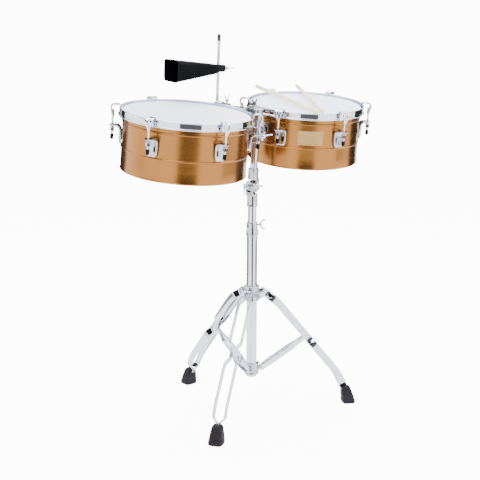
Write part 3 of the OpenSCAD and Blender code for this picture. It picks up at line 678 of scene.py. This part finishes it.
def rounded_path(points, cuts, step):
    """Evenly placed (length, point) along a path with rounded corners, and the path's length."""
    pts = [Vector(p) for p in points]
    dense = [pts[0]]
    for a, b, c, cut in zip(pts, pts[1:], pts[2:], cuts):
        p0 = b + (a - b).normalized() * cut
        p1 = b + (c - b).normalized() * cut
        for k in range(9):
            t = k / 8
            dense.append(p0 * (1 - t) ** 2 + b * 2 * t * (1 - t) + p1 * t * t)
    dense.append(pts[-1])
    lengths = [0.0]
    for a, b in zip(dense, dense[1:]):
        lengths.append(lengths[-1] + (b - a).length)
    total = lengths[-1]
    n = int(total / step)
    out = []
    for k in range(n + 1):
        s = total * k / n
        i = max(j for j in range(len(lengths)) if lengths[j] <= s + 1e-9)
        i = min(i, len(dense) - 2)
        t = (s - lengths[i]) / max(lengths[i + 1] - lengths[i], 1e-9)
        out.append((s, dense[i].lerp(dense[i + 1], t)))
    return out, total


def strip(p, samples, gap, half_w, thick, side, mat, cap_r):
    """A flat strip bent along samples of (s, point), its inner face gap(s) from the plane y = 0."""
    def narrowed(k):
        return math.sqrt(max(1 - k * k, 0.0016))

    (s0, first), (s1, last) = samples[0], samples[-1]
    t0 = (samples[1][1] - first).normalized()
    t1 = (last - samples[-2][1]).normalized()
    stations = [(s0 - cap_r * k, first - t0 * cap_r * k, t0, narrowed(k)) for k in CAP_STEPS]
    for i, (s, q) in enumerate(samples):
        a, b = samples[max(i - 1, 0)][1], samples[min(i + 1, len(samples) - 1)][1]
        stations.append((s, q, (b - a).normalized(), 1.0))
    stations += [(s1 + cap_r * k, last + t1 * cap_r * k, t1, narrowed(k)) for k in reversed(CAP_STEPS)]
    rows = []
    for s, q, t, share in stations:
        n = Vector((-t.y, t.x)) * (half_w * share)
        mid = side * (gap(s) + thick / 2)
        rows.append([(q.x + n.x * u, mid + side * thick / 2 * v, q.y + n.y * u) for u, v in STRIP_SECTION])
    p.loft(rows, mat)


def piecewise(stops):
    """Function through stops of (s, value), with slightly eased ramps between them."""
    def f(s):
        if s <= stops[0][0]:
            return stops[0][1]
        for (a, ya), (b, yb) in zip(stops, stops[1:]):
            if s <= b:
                u = (s - a) / (b - a)
                return ya + (yb - ya) * (0.3 * smoothstep(u) + 0.7 * u)
        return stops[-1][1]
    return f


leg_samples, leg_total = rounded_path([PIVOT, KNEE, BEND, END], [24, 26], 5.0)
joint_s = min(leg_samples, key=lambda q: (q[1] - Vector(BRACE_AT)).length)[0]
leg_gap = piecewise([(16, TOP_GAP), (16 + RAMP, BOW), (joint_s - 18 - RAMP, BOW), (joint_s - 18, JOINT_GAP),
                     (joint_s + 14, JOINT_GAP), (joint_s + 14 + RAMP, BOW), (leg_total - 28 - RAMP, BOW),
                     (leg_total - 28, FOOT_GAP)])
brace_vec = Vector(BRACE_AT) - Vector(BRACE_FROM)
brace_l = brace_vec.length
brace_samples = [(brace_l * k / 34, Vector(BRACE_FROM) + brace_vec * k / 34) for k in range(35)]
brace_gap = piecewise([(14, TOP_GAP), (32, 8.0), (brace_l - 60, 8.0), (brace_l - 36, 0.9)])

# Boot's sections from the floor up: height, inner and outer distance from the stand's axis, half width
BOOT = [
    (0.0, 291.5, 325.0, 18.0), (1.2, 289.6, 326.8, 19.6), (3.5, 288.2, 327.6, 20.7), (9, 287.6, 327.0, 20.9),
    (10.2, 288.4, 325.8, 20.1), (11.4, 287.6, 326.2, 20.7), (17, 287.0, 324.6, 20.1),
    (18.2, 287.8, 323.4, 19.3), (19.4, 287.0, 323.6, 19.8), (30, 285.8, 320.4, 18.2),
    (42, 284.4, 316.0, 16.4), (49, 284.0, 313.0, 15.2), (53, 285.2, 310.4, 13.8), (55.6, 287.6, 307.4, 11.6),
]


def pivot_bolt(p, at, half):
    """Domed head on one side and a nut on the other; at has its Z along the bolt."""
    p.lathe([(0, half + 3.4), (2.4, half + 3.2), (4.4, half + 2.2), (5.6, half + 0.6), (5.6, half),
             (2.9, half), (2.9, -half), (5.4, -half), (5.4, -half - 0.7), (3, -half - 0.9),
             (0, -half - 0.9)], at, 28)
    p.hexagon(9.6, -half - 4.4, -half - 0.7, at)


def build_leg(name, azimuth):
    base = rot("Z", azimuth)
    body = "leg_" + name
    p = Piece()
    r = Piece()
    for side in (-1, 1):
        strip(p, leg_samples, leg_gap, LEG_W / 2, LEG_T, side, base, LEG_W / 2 - 0.5)
        at = base @ move(BRACE_AT[0], 0, BRACE_AT[1]) @ rot("X", -90 * side)
        r.lathe([(2.9, 4.1), (2.9, 7), (5.5, 7), (5.4, 8), (4.2, 9.2), (2, 9.8), (0, 9.9)], at, 28)
    p.finish("leg_" + name + "_strips", "chrome", body, ["leg_" + name], sharp=44)
    r.finish("leg_" + name + "_rivets", "chrome", body, ["leg_rivets_" + name], sharp=50)
    rows = []
    for z, r0, r1, half_w in BOOT:
        outline = round_rect(r1 - r0, 2 * half_w, min(7.5, half_w * 0.6), 5)
        rows.append([((r0 + r1) / 2 + x, y, z) for x, y in outline])
    f = Piece()
    f.loft(rows, base)
    f.finish("foot_" + name + "_boot", "foot_rubber", body, ["foot_" + name], sharp=75)


def build_brace(name, azimuth):
    p = Piece()
    for side in (-1, 1):
        strip(p, brace_samples, brace_gap, 8.5, 2.5, side, rot("Z", azimuth), 8.0)
    p.finish("brace_" + name + "_strips", "chrome", "brace_" + name, ["brace_" + name], sharp=44)


for leg_name, leg_az in LEGS.items():
    build_leg(leg_name, leg_az)
    build_brace(leg_name, leg_az)

# -------- tubes and collars
BASE_R = 15.9
UPPER_R = 12.7
boss_az = math.radians(LEGS["front"] + 60)
BOSS = aim_z((0, 0, PIVOT[1] - 8), (math.cos(boss_az), math.sin(boss_az), 0))


def tube_profile(r, z0, z1, wall):
    return [(r - 0.5, z0), (r, z0 + 0.5), (r, z1 - 0.5), (r - 0.5, z1), (r - wall, z1), (r - wall, z0)]


def build_tube(name, node, body, r, wall):
    lo, hi = node_box(node)
    p = Piece()
    p.lathe(tube_profile(r, lo.z, hi.z, wall), None, 64, True)
    p.finish(name, "chrome", body, [node], sharp=40)


def build_collar(name, node, body, z0, h, pivot, ear_r, bore, boss=False):
    """Collar with a flange at each end and three ears; boss adds the seat of the wing bolt."""
    r = BASE_R + 5.5
    f = BASE_R + 7.0
    x, z = pivot
    rim = [(f - 1.4, 0), (f - 0.3, 0.5), (f, 1.6), (f, 3.6), (f - 0.6, 4.8), (r, 6.5)]
    prof = [(bore, z0 + 0.6)] + [(a, z0 + b) for a, b in rim]
    prof += [(a, z0 + h - b) for a, b in reversed(rim)] + [(bore, z0 + h - 0.6)]
    ear = [(BASE_R + 2, z - ear_r), (x, z - ear_r)] + arc(x, z, ear_r, -75, 75, 10)
    ear += [(x, z + ear_r), (BASE_R + 2, z + ear_r)]
    p = Piece()
    p.lathe(prof, None, 64, True)
    for azimuth in LEGS.values():
        p.prism(ear, -4.0, 4.0, rot("Z", azimuth) @ rot("X", 90))
    if boss:
        p.lathe([(0, 0), (7.5, 0), (7.5, 12.4), (6.7, 13.9), (3.2, 14), (3.2, 6), (0, 6)],
                BOSS @ move(0, 0, BASE_R + 2), 32)
    p.finish(name, "cast_chrome", body, [node], bevel=0.9)


def build_pivot_bolts(name, node, body, pivot, half):
    p = Piece()
    for azimuth in LEGS.values():
        pivot_bolt(p, rot("Z", azimuth) @ move(pivot[0], 0, pivot[1]) @ rot("X", 90), half)
    p.finish(name, "chrome", body, [node], sharp=44)


build_tube("base_tube_pipe", "base_tube", "stand", BASE_R, 1.6)
build_tube("upper_tube_pipe", "upper_tube", "column", UPPER_R, 1.5)
build_collar("lower_collar_casting", "lower_collar", "stand", 114, 34, BRACE_FROM, 8, BASE_R)
build_collar("upper_collar_casting", "upper_collar", "sliding_collar", 344, 46, PIVOT, 9.5, BASE_R + 0.1,
             boss=True)
build_pivot_bolts("lower_pivot_bolt_set", "lower_pivot_bolts", "stand", BRACE_FROM, 7.2)
build_pivot_bolts("collar_pivot_bolt_set", "collar_pivot_bolts", "sliding_collar", PIVOT, 7.7)

# -------- wing bolts
CLAMP_TURN = -39.0
CLAMP_BOLT = (24.0, 571.0)  # distance behind the axis and height of the height clamp's bolt
BLOCK_Z = 157.0  # middle of the centre block, up the post from the tilter
ARM_Z = 914.0  # height of the cowbell's arm
WING_SEAT = ARM_Z + 6.75


def wing(p, at, shank_l, shank_r=3.0, span=34.0, height=15.0, arms=2):
    """Wing bolt along Z with its tip at the origin."""
    hub = 6.0
    prof = [(0, 0), (shank_r - 0.7, 0), (shank_r, 0.8)] + thread(shank_r, 0.8, shank_l - 3)
    prof += [(shank_r, shank_l - 1), (shank_r, shank_l), (hub - 0.6, shank_l), (hub, shank_l + 0.7)]
    prof += [(hub * 0.94, shank_l + 4), (hub * 0.78, shank_l + 8), (hub * 0.55, shank_l + 9.4)]
    p.lathe(prof + [(0, shank_l + 9.8)], at, 28)
    reach = span / 2
    z0 = shank_l + 4.6
    blade = [(1.0, z0, 3.6, 2.2), (hub * 0.75, z0 + 0.4, 3.5, 2.1)]
    blade += [(reach * x, z0 + height * z, half_w, half_t) for x, z, half_w, half_t in (
        (0.55, 0.22, 3.0, 1.8), (0.8, 0.48, 3.4, 1.7), (0.95, 0.74, 3.6, 1.6), (0.99, 0.92, 2.6, 1.4),
        (0.97, 1.0, 1.2, 0.9))]
    for k in range(arms):
        p.blade(blade, at @ rot("Z", 360 * k / arms))


def wing_piece(name, node, body, at, shank_l, nut=None, material="chrome", **shape):
    """Wing bolt as a piece of its own; nut is (width over flats, bottom, top)."""
    p = Piece()
    wing(p, at, shank_l, **shape)
    if nut:
        p.hexagon(*nut, at)
    p.finish(name, material, body, [node], sharp=50)


wing_piece("collar_wing", "collar_wing_bolt", "collar_screw", BOSS @ move(0, 0, BASE_R + 0.5), 19)
wing_piece("height_wing", "height_wing_bolt", "height_screw",
           rot("Z", CLAMP_TURN) @ move(-13, *CLAMP_BOLT) @ rot("Y", 90) @ rot("Z", 15), 34, (9.6, -0.3, 4.5))
wing_piece("block_wing", "block_wing_bolt", "block_screw",
           TILTED @ move(0, -11.4, BLOCK_Z) @ rot("X", 90) @ rot("Z", 20), 20,
           shank_r=4.0, span=40, height=16)
wing_piece("top_wing", "top_wing_bolt", "top_screw", move(0, -8, WING_SEAT) @ rot("Z", 20), 10,
           material="dark_metal", span=24, height=12)
wing_piece("rod_wing", "rod_wing_bolt", "rod_screw", move(0, 122, WING_SEAT) @ rot("Z", 30), 9,
           span=30, height=16)

# -------- height clamp
CLAMP_Z = 543.0
EAR_R = 9.0


def build_height_clamp():
    """Sleeve on the lower tube that narrows to the upper one, with two ears for the wing bolt."""
    prof = [(BASE_R + 0.1, 0), (BASE_R + 1.8, 0), (BASE_R + 2.4, 0.8), (BASE_R + 2.3, 9), (BASE_R + 1.9, 15),
            (BASE_R + 0.9, 20.5), (BASE_R + 0.5, 25), (BASE_R + 0.5, 38.6), (BASE_R - 0.4, 40),
            (UPPER_R + 0.15, 40), (UPPER_R + 0.15, 17.5), (BASE_R + 0.1, 17.2)]
    y, z = CLAMP_BOLT
    ear = [(11, z - EAR_R), (y, z - EAR_R)] + arc(y, z, EAR_R, -80, 80, 10)
    ear += [(y, z + EAR_R), (11, z + EAR_R)]
    p = Piece()
    p.lathe(prof, move(0, 0, CLAMP_Z), 64, True)
    for s in (-1, 1):
        p.prism(ear, 0, 5, rot("Z", CLAMP_TURN) @ move(s * 5 - 2.5, 0, 0) @ rot("Z", 90) @ rot("X", 90))
    p.finish("height_clamp_casting", "cast_chrome", "stand", ["height_clamp"], bevel=0.8)


build_height_clamp()

# -------- tilter
CHEEK_R = 18.0
SLEEVE_Z = 630.0
PIN_X = -31.0  # the T-shaped head of the hinge bolt
STAR_X, STAR_Y, STAR_Z = -12.0, -10.0, 693.0


def toothed_disc(p, at, x_back, x_face, direction):
    """Disc about local X whose inner face carries radial teeth; direction is the sign of X from back to face."""
    r, hole, teeth = CHEEK_R, 4.1, 24
    rings = ((hole, x_back, 0), (r - 1, x_back, 0), (r, x_back + direction, 0),
             (r, x_face - direction * 1.6, 0), (r - 0.2, x_face, 0.55), (9.5, x_face, 0.5),
             (9, x_face - direction * 0.3, 0), (hole, x_face - direction * 0.3, 0))
    n = teeth * 4
    rows = []
    for ring_r, x, amp in rings:
        row = []
        for i in range(n):
            a = 2 * math.pi * i / n
            wave = amp * (1 - abs((i % 4) - 2))
            row.append((x + wave, ring_r * math.cos(a), ring_r * math.sin(a)))
        rows.append(row)
    p.quad_rows(rows, at, close=True)


def build_tilter_base():
    """Cheek and sleeve on the upper tube, with the boss of the star knob."""
    sleeve = [(UPPER_R + 0.1, 0), (UPPER_R + 3.2, 0), (UPPER_R + 4.2, 1), (UPPER_R + 4.2, 3.6),
              (UPPER_R + 3.2, 5.2), (UPPER_R + 3, 7), (UPPER_R + 3, 36), (UPPER_R + 2, 38.8),
              (UPPER_R - 1, 40), (6, 40), (6, 22), (UPPER_R + 0.1, 22)]
    boss = [(3.1, -22), (5.4, -22), (6, -21.4), (6, -8.2), (0, -8.2), (0, -9.7), (3.1, -9.7)]
    p = Piece()
    toothed_disc(p, move(*TILTER), -14, -0.75, 1)
    p.lathe(sleeve, move(0, 0, SLEEVE_Z), 64, True)
    p.prism([(-14, -15), (-0.8, -15), (-0.8, 15), (-14, 15)], SLEEVE_Z + 34, SLEEVE_Z + 50)
    p.lathe(boss, move(STAR_X, 0, STAR_Z) @ rot("X", -90), 32)
    p.finish("tilter_base_casting", "cast_chrome", "swivel", ["tilter_base"], bevel=0.6)


def build_tilter_head():
    """Cheek with the socket of the mounting post."""
    socket = [(11.2, 55), (14.6, 55), (15.6, 54), (15.6, 25), (14.2, 21.6), (12, 21), (0, 21), (0, 24),
              (11.2, 24)]
    p = Piece()
    toothed_disc(p, TILTED, 14, 0.75, -1)
    p.prism([(0.9, -13), (14, -13), (14, 13), (0.9, 13)], 4, 26, TILTED)
    p.lathe(socket, TILTED, 48)
    p.finish("tilter_head_casting", "cast_chrome", "tilt_head", ["tilter_head"], bevel=0.6)


def build_tilter_pin():
    """Hinge bolt with a nut at each cheek, and at one end a T-shaped head with a thin tail."""
    along = move(*TILTER) @ rot("Y", 90)
    head = move(PIN_X, 0, TILTER.z)
    p = Piece()
    p.hexagon(13.0, -19.2, -14.3, along)
    p.rod(4.0, -16, 18, along)
    p.hexagon(13.0, 14.4, 20.0, along)
    p.rod(2.5, PIN_X, -18, along, 20)
    p.lathe([(0, -8), (2.2, -7.6), (3.2, -6.6), (3.2, 10.6), (2.2, 11.6), (0, 12)], head, 24)
    p.lathe([(0, -28), (1.6, -27.4), (1.6, -7), (0, -7)], head, 16)
    p.finish("tilter_pin_bolt", "chrome", "swivel", ["tilter_pin"], sharp=44)


def build_star():
    """Three-armed bolt with rounded plastic tips."""
    star = move(STAR_X, STAR_Y, STAR_Z) @ rot("X", 90) @ rot("Z", 5)
    tip = [(14.5, 20.6, 3.0, 2.2), (16.5, 21.8, 3.5, 2.5), (19.5, 24.0, 3.8, 2.7), (21.8, 25.8, 3.2, 2.3),
           (23.0, 26.8, 1.6, 1.2)]
    p = Piece()
    wing(p, star, 12.5, span=42, height=8, arms=3)
    p.finish("tilter_star", "chrome", "tilter_screw", ["tilter_wing_bolt"], sharp=50)
    p = Piece()
    for k in range(3):
        p.blade(tip, star @ rot("Z", 120 * k))
    p.finish("tilter_star_tips", "black_plastic", "tilter_screw", subsurf=1)


build_tilter_base()
build_tilter_head()
build_tilter_pin()
build_star()

# -------- centre
POST_R = 11.1
BLOCK_H = 46.0
ARM_R = 6.35  # of the drums' arms and of the cowbell's


def build_post():
    p = Piece()
    p.lathe(tube_profile(POST_R, 24, 214, 1.5), TILTED, 64, True)
    p.finish("mount_post_pipe", "chrome", "tilt_head", ["mount_post"], sharp=40)


def build_centre_block():
    """Block on the post, with the wing bolt's boss and a collared round arm to each drum."""
    z0, z1 = BLOCK_Z - BLOCK_H / 2, BLOCK_Z + BLOCK_H / 2
    outline = [(-16, 8), (16, 8), (16, 38)] + arc(8, 38, 8, 0, 90, 5) + arc(-8, 38, 8, 90, 180, 5)
    boss = [(4.1, -24), (7, -24), (7.5, -23.4), (7.5, -14), (4.1, -14)]
    p = Piece()
    p.lathe([(POST_R + 0.1, z0), (POST_R + 5, z0), (POST_R + 6, z0 + 1), (POST_R + 6, z1 - 1),
             (POST_R + 5, z1), (POST_R + 0.1, z1)], TILTED, 64, True)
    p.prism(outline + [(-16, 38)], BLOCK_Z - 19, BLOCK_Z + 19, TILTED)
    p.lathe(boss, TILTED @ move(0, 0, BLOCK_Z) @ rot("X", -90), 32, True)
    for d in DRUMS.values():
        inner = abs(d["x"]) - 10
        arm = d["mat"] @ move(-d["side"] * inner, 0, -ARM_DROP) @ rot("Y", d["side"] * 90)
        p.rod(ARM_R, 0, inner - d["r"] - 3, arm, 40)
        p.lathe([(6.4, 6), (10.5, 6), (11, 6.6), (11, 12.4), (10.5, 13), (6.4, 13)], arm, 40, True)
    p.finish("centre_block_casting", "cast_chrome", "tilt_head", ["centre_block"], bevel=0.8)


def build_top_clamp():
    """Cap of the post, with the block that pinches the cowbell's arm."""
    p = Piece()
    p.lathe([(POST_R + 0.1, 198), (POST_R + 4, 198), (POST_R + 5, 199), (POST_R + 5, 230),
             (POST_R + 3.6, 232), (0, 232), (0, 214.4), (POST_R + 0.1, 214.4)], TILTED, 48)
    p.prism(round_rect(24, 24, 5, 4), -15, 18, move(0, 0, ARM_Z) @ rot("X", 90))
    p.lathe([(3.1, 10), (7.4, 10), (7, 15), (6.4, 16), (3.1, 16)], move(0, -8, ARM_Z), 32, True)
    p.finish("top_clamp_casting", "cast_chrome", "tilt_head", ["top_clamp"], bevel=0.8)


def build_cowbell_arm():
    p = Piece()
    p.rod(ARM_R, -13.7, 150, move(0, 0, ARM_Z) @ rot("X", -90), 48, 0.8)
    p.finish("cowbell_arm_bar", "chrome", "tilt_head", ["cowbell_arm"], sharp=40)


build_post()
build_centre_block()
build_top_clamp()
build_cowbell_arm()

# -------- cowbell
ROD_Y, ROD_FOOT, ROD_TOP = 170.5, 924.0, 1127.0
LEAN = 2.9
ROD_R = 4.75
UPRIGHT = move(0, ROD_Y, ROD_FOOT) @ rot("X", LEAN)
BELL_Z = 1025.0
BELL = UPRIGHT @ move(0, 0, BELL_Z - ROD_FOOT)
BELL_L = 160.0
BELL_BACK = -12.0  # narrow end of the bell, from the rod
BELL_STEPS = [0.0, 0.015, 0.04, 0.1, 0.2, 0.3, 0.4, 0.5, 0.6, 0.7, 0.8, 0.9, 0.96, 0.99, 1.0]
BELL_INSET = {0.0: 3.0, 0.015: 1.0, 0.04: 0.2, 0.99: -0.35, 1.0: -0.5}  # rounds the back, swells the mouth


def build_rod_clamp():
    """Two stepped blocks, the first on the arm and the second round the rod."""
    across = move(0, 0, ARM_Z + 0.5) @ rot("X", 90)
    p = Piece()
    p.prism(round_rect(20, 21, 5, 4), -150, -114, across)
    p.prism(round_rect(16, 17, 5, 4), -177.5, -149, across)
    p.lathe([(4.9, 7), (8.6, 7), (9.2, 7.6), (9.2, 10), (8.6, 10.8), (4.9, 10.8)],
            move(0, ROD_Y, ARM_Z), 40, True)
    p.finish("rod_clamp_casting", "cast_chrome", "bell_arm_clamp", ["rod_clamp"], bevel=0.9)


def build_rod_knob():
    """Round knob with twelve flutes."""
    n = 12 * 4
    rows = []
    for r, z in ((3, 0), (3, 3.6), (6, 4), (8.4, 4.4), (9, 5.4), (9, 11.5), (8.2, 13.6), (5.5, 14.9),
                 (2, 15.3)):
        row = []
        for i in range(n):
            a = 2 * math.pi * i / n
            fluted = r - (0.65 if i % 4 == 0 and r > 8 else 0)
            row.append((fluted * math.cos(a), fluted * math.sin(a), z))
        rows.append(row)
    p = Piece()
    p.loft(rows, move(0, ROD_Y + 5.75, ARM_Z - 1) @ rot("X", -90))
    p.finish("rod_knob_grip", "black_plastic", "knob_screw", ["rod_knob"], sharp=50)


def build_rod():
    """Upright rod with a darker cap on its top."""
    top = ROD_TOP - ROD_FOOT
    p = Piece()
    p.rod(ROD_R, -30, top - 19, UPRIGHT, 40)
    p.finish("cowbell_rod_bar", "chrome", "bell_rod", ["cowbell_rod"], sharp=40)
    p = Piece()
    p.lathe([(ROD_R, top - 20.5), (5.3, top - 20), (5.45, top - 19), (5.45, top - 2.2), (4.6, top - 0.7),
             (2.6, top), (0, top)], UPRIGHT, 40)
    p.finish("cowbell_rod_tip", "dark_metal", "bell_rod", sharp=50)


def bell_ring(f, inset, x):
    """Section of the bell at f of its length: a rounded rectangle whose sides bulge a little."""
    w = 36 + 34 * f - 2 * inset
    h = 27 + 37 * f - 2 * inset
    out = []
    for y, z in round_rect(w, h, max(5 + 6 * f - inset, 2), 6):
        bulge = f * (1 - (2 * z / h) ** 2)
        out.append((x, y + math.copysign(bulge, y), z))
    return out


def build_bell():
    """Folded bell, open at the mouth, with a seam along each side."""
    def x_at(f):
        return BELL_BACK - BELL_L * f

    outer = [bell_ring(f, BELL_INSET.get(f, 0.0), x_at(f)) for f in BELL_STEPS]
    inner = [bell_ring(f, BELL_INSET.get(f, 0.0) + 1.7, x_at(f) - (1.8 if f == 0 else 0))
             for f in reversed(BELL_STEPS)]
    p = Piece()
    p.loft(outer + inner, BELL)
    seam = ((0.2, 1.6), (1, 1), (1.3, 0), (1, -1), (0.2, -1.6), (-1, 0))
    for side in (-1, 1):
        rows = []
        for f in BELL_STEPS[1:-1]:
            y = side * ((36 + 34 * f) / 2 + f + 0.1)
            rows.append([(x_at(f), y + side * a, z) for a, z in seam])
        p.loft(rows, BELL)
    p.finish("cowbell_body", "bell_paint", "bell", ["cowbell"], sharp=50)


def build_bell_clamp():
    """Block between bell and rod, with a collar round the rod."""
    p = Piece()
    p.prism(round_rect(33, 18, 3, 3), -10, 10, BELL @ move(5.4, 0, 0))
    p.lathe([(5, 9.6), (7.6, 9.6), (7.8, 10.4), (7.2, 11.4), (5, 11.6)], BELL, 32, True)
    p.finish("bell_clamp_block", "black_plastic", "bell", ["bell_clamp"], bevel=1.0)


build_rod_clamp()
build_rod_knob()
build_rod()
build_bell()
build_bell_clamp()
wing_piece("bell_wing", "bell_wing_bolt", "bell_screw",
           BELL @ move(5.25, 0, 0) @ rot("Y", 90) @ rot("Z", 90), 24, span=30, height=15)

# -------- camera, in metres
EYE = Vector((-2.1522, -2.6533, 1.2708))
AIM = Vector((0, 0, 0.5284))
ROLL = math.radians(0.33)
cam_data = bpy.data.cameras.new("camera")
cam = bpy.data.objects.new("camera", cam_data)
bpy.context.scene.collection.objects.link(cam)
forward = (AIM - EYE).normalized()
right = forward.cross(Vector((0, 0, 1))).normalized()
up = right.cross(forward)
right, up = right * math.cos(ROLL) + up * math.sin(ROLL), up * math.cos(ROLL) - right * math.sin(ROLL)
cam.matrix_world = Matrix.Translation(EYE) @ Matrix((right, up, -forward)).transposed().to_4x4()
cam_data.lens = 88.2
cam_data.sensor_width = 36.0
cam_data.shift_x = -0.0251
cam_data.clip_end = 60
bpy.context.scene.camera = cam

# -------- floor, cards and lights, in metres
FLOOR_SIZE = 44.0
FLOOR_GLOW, WALL_GLOW = 9.0, 11.6
WALLS, WALL_AT = 12, 21.0
WALL_W, WALL_H, WALL_MID = 12.0, 14.2, 7.0
CARD_AT = 4.5
CARD_FOOT = -0.89  # below the floor, so that faces that look down see the cards too
VIEW_AZ = math.degrees(math.atan2(EYE.y, EYE.x))


def stage_plane(name, at, width, height, color, glossy_only=False):
    """Matt plane of the stage; glossy_only leaves it to reflections."""
    me = bpy.data.meshes.new(name)
    bm = bmesh.new()
    bmesh.ops.create_grid(bm, x_segments=2, y_segments=2, size=0.5)
    for v in bm.verts:
        v.co.x *= width
        v.co.y *= height
    bm.to_mesh(me)
    bm.free()
    m, _, b = new_material(name)
    b.inputs["Base Color"].default_value = (*color, 1)
    b.inputs["Roughness"].default_value = 0.9
    b.inputs["Specular IOR Level"].default_value = 0.1
    me.materials.append(m)
    ob = bpy.data.objects.new(name, me)
    ob.matrix_world = at
    bpy.context.scene.collection.objects.link(ob)
    if glossy_only:
        ob.visible_camera = False
        ob.visible_diffuse = False
        ob.visible_shadow = False
        ob.visible_transmission = False
    return ob


def glow(ob, strength):
    """Gives a stage piece light of its own, seen by the camera and by nothing else."""
    b = ob.data.materials[0].node_tree.nodes["Principled BSDF"]
    b.inputs["Emission Color"].default_value = (1, 1, 1, 1)
    b.inputs["Emission Strength"].default_value = strength
    ob.visible_glossy = False
    ob.visible_diffuse = False


def card(name, bearing, width_deg, z0, z1, shade):
    """Upright card for reflections; bearing is in degrees from the camera's side, positive to its right."""
    a = math.radians(VIEW_AZ + bearing)
    width = 2 * CARD_AT * math.tan(math.radians(width_deg / 2))
    centre = Vector((CARD_AT * math.cos(a), CARD_AT * math.sin(a), (z0 + z1) / 2))
    at = aim_z(centre, (-math.cos(a), -math.sin(a), 0))
    stage_plane(name, at, width, z1 - z0, (shade,) * 3, True)


def area_light(name, at, target, size, power):
    data = bpy.data.lights.new(name, "AREA")
    data.shape = "RECTANGLE"
    data.size, data.size_y = size
    data.energy = power
    ob = bpy.data.objects.new(name, data)
    ob.matrix_world = aim_z(at, Vector(at) - Vector(target))
    bpy.context.scene.collection.objects.link(ob)


floor = stage_plane("floor", Matrix(), FLOOR_SIZE, FLOOR_SIZE, (0.93, 0.93, 0.94))
glow(floor, FLOOR_GLOW)
for k in range(WALLS):
    a = 2 * math.pi * k / WALLS
    at = aim_z((0, 0, 0), (-math.cos(a), -math.sin(a), 0)) @ move(0, WALL_MID, -WALL_AT)
    wall = stage_plane("wall_%d" % k, at, WALL_W, WALL_H, (0.02, 0.02, 0.02), True)
    wall.visible_camera = True
    glow(wall, WALL_GLOW)

card("card_front", 7, 36, CARD_FOOT, 7.0, 0.05)
card("card_up", -40, 80, 1.0, 5.0, 0.004)
card("card_right", 129, 36, CARD_FOOT, 5.0, 0.01)
card("card_left", -150, 58, CARD_FOOT, 5.0, 0.01)
card("card_grey_left", -106, 64, CARD_FOOT, -0.15, 0.16)
card("card_grey_right", 92, 36, CARD_FOOT, -0.45, 0.2)

area_light("key", (-2.6, -1.6, 3.4), (0, 0, 0.8), (1.8, 1.8), 110)
area_light("fill", (2.6, -2.2, 2.6), (0, 0, 0.7), (2.2, 2.2), 60)
area_light("top", (0.3, 0.8, 3.6), (0, 0, 0.8), (2.4, 2.4), 150)

world = bpy.data.worlds.new("world")
bpy.context.scene.world = world
world.use_nodes = True
sky = world.node_tree.nodes["Background"]
sky.inputs["Color"].default_value = (0.98, 0.985, 1.0, 1)
sky.inputs["Strength"].default_value = 3.4

bpy.context.view_layer.update()
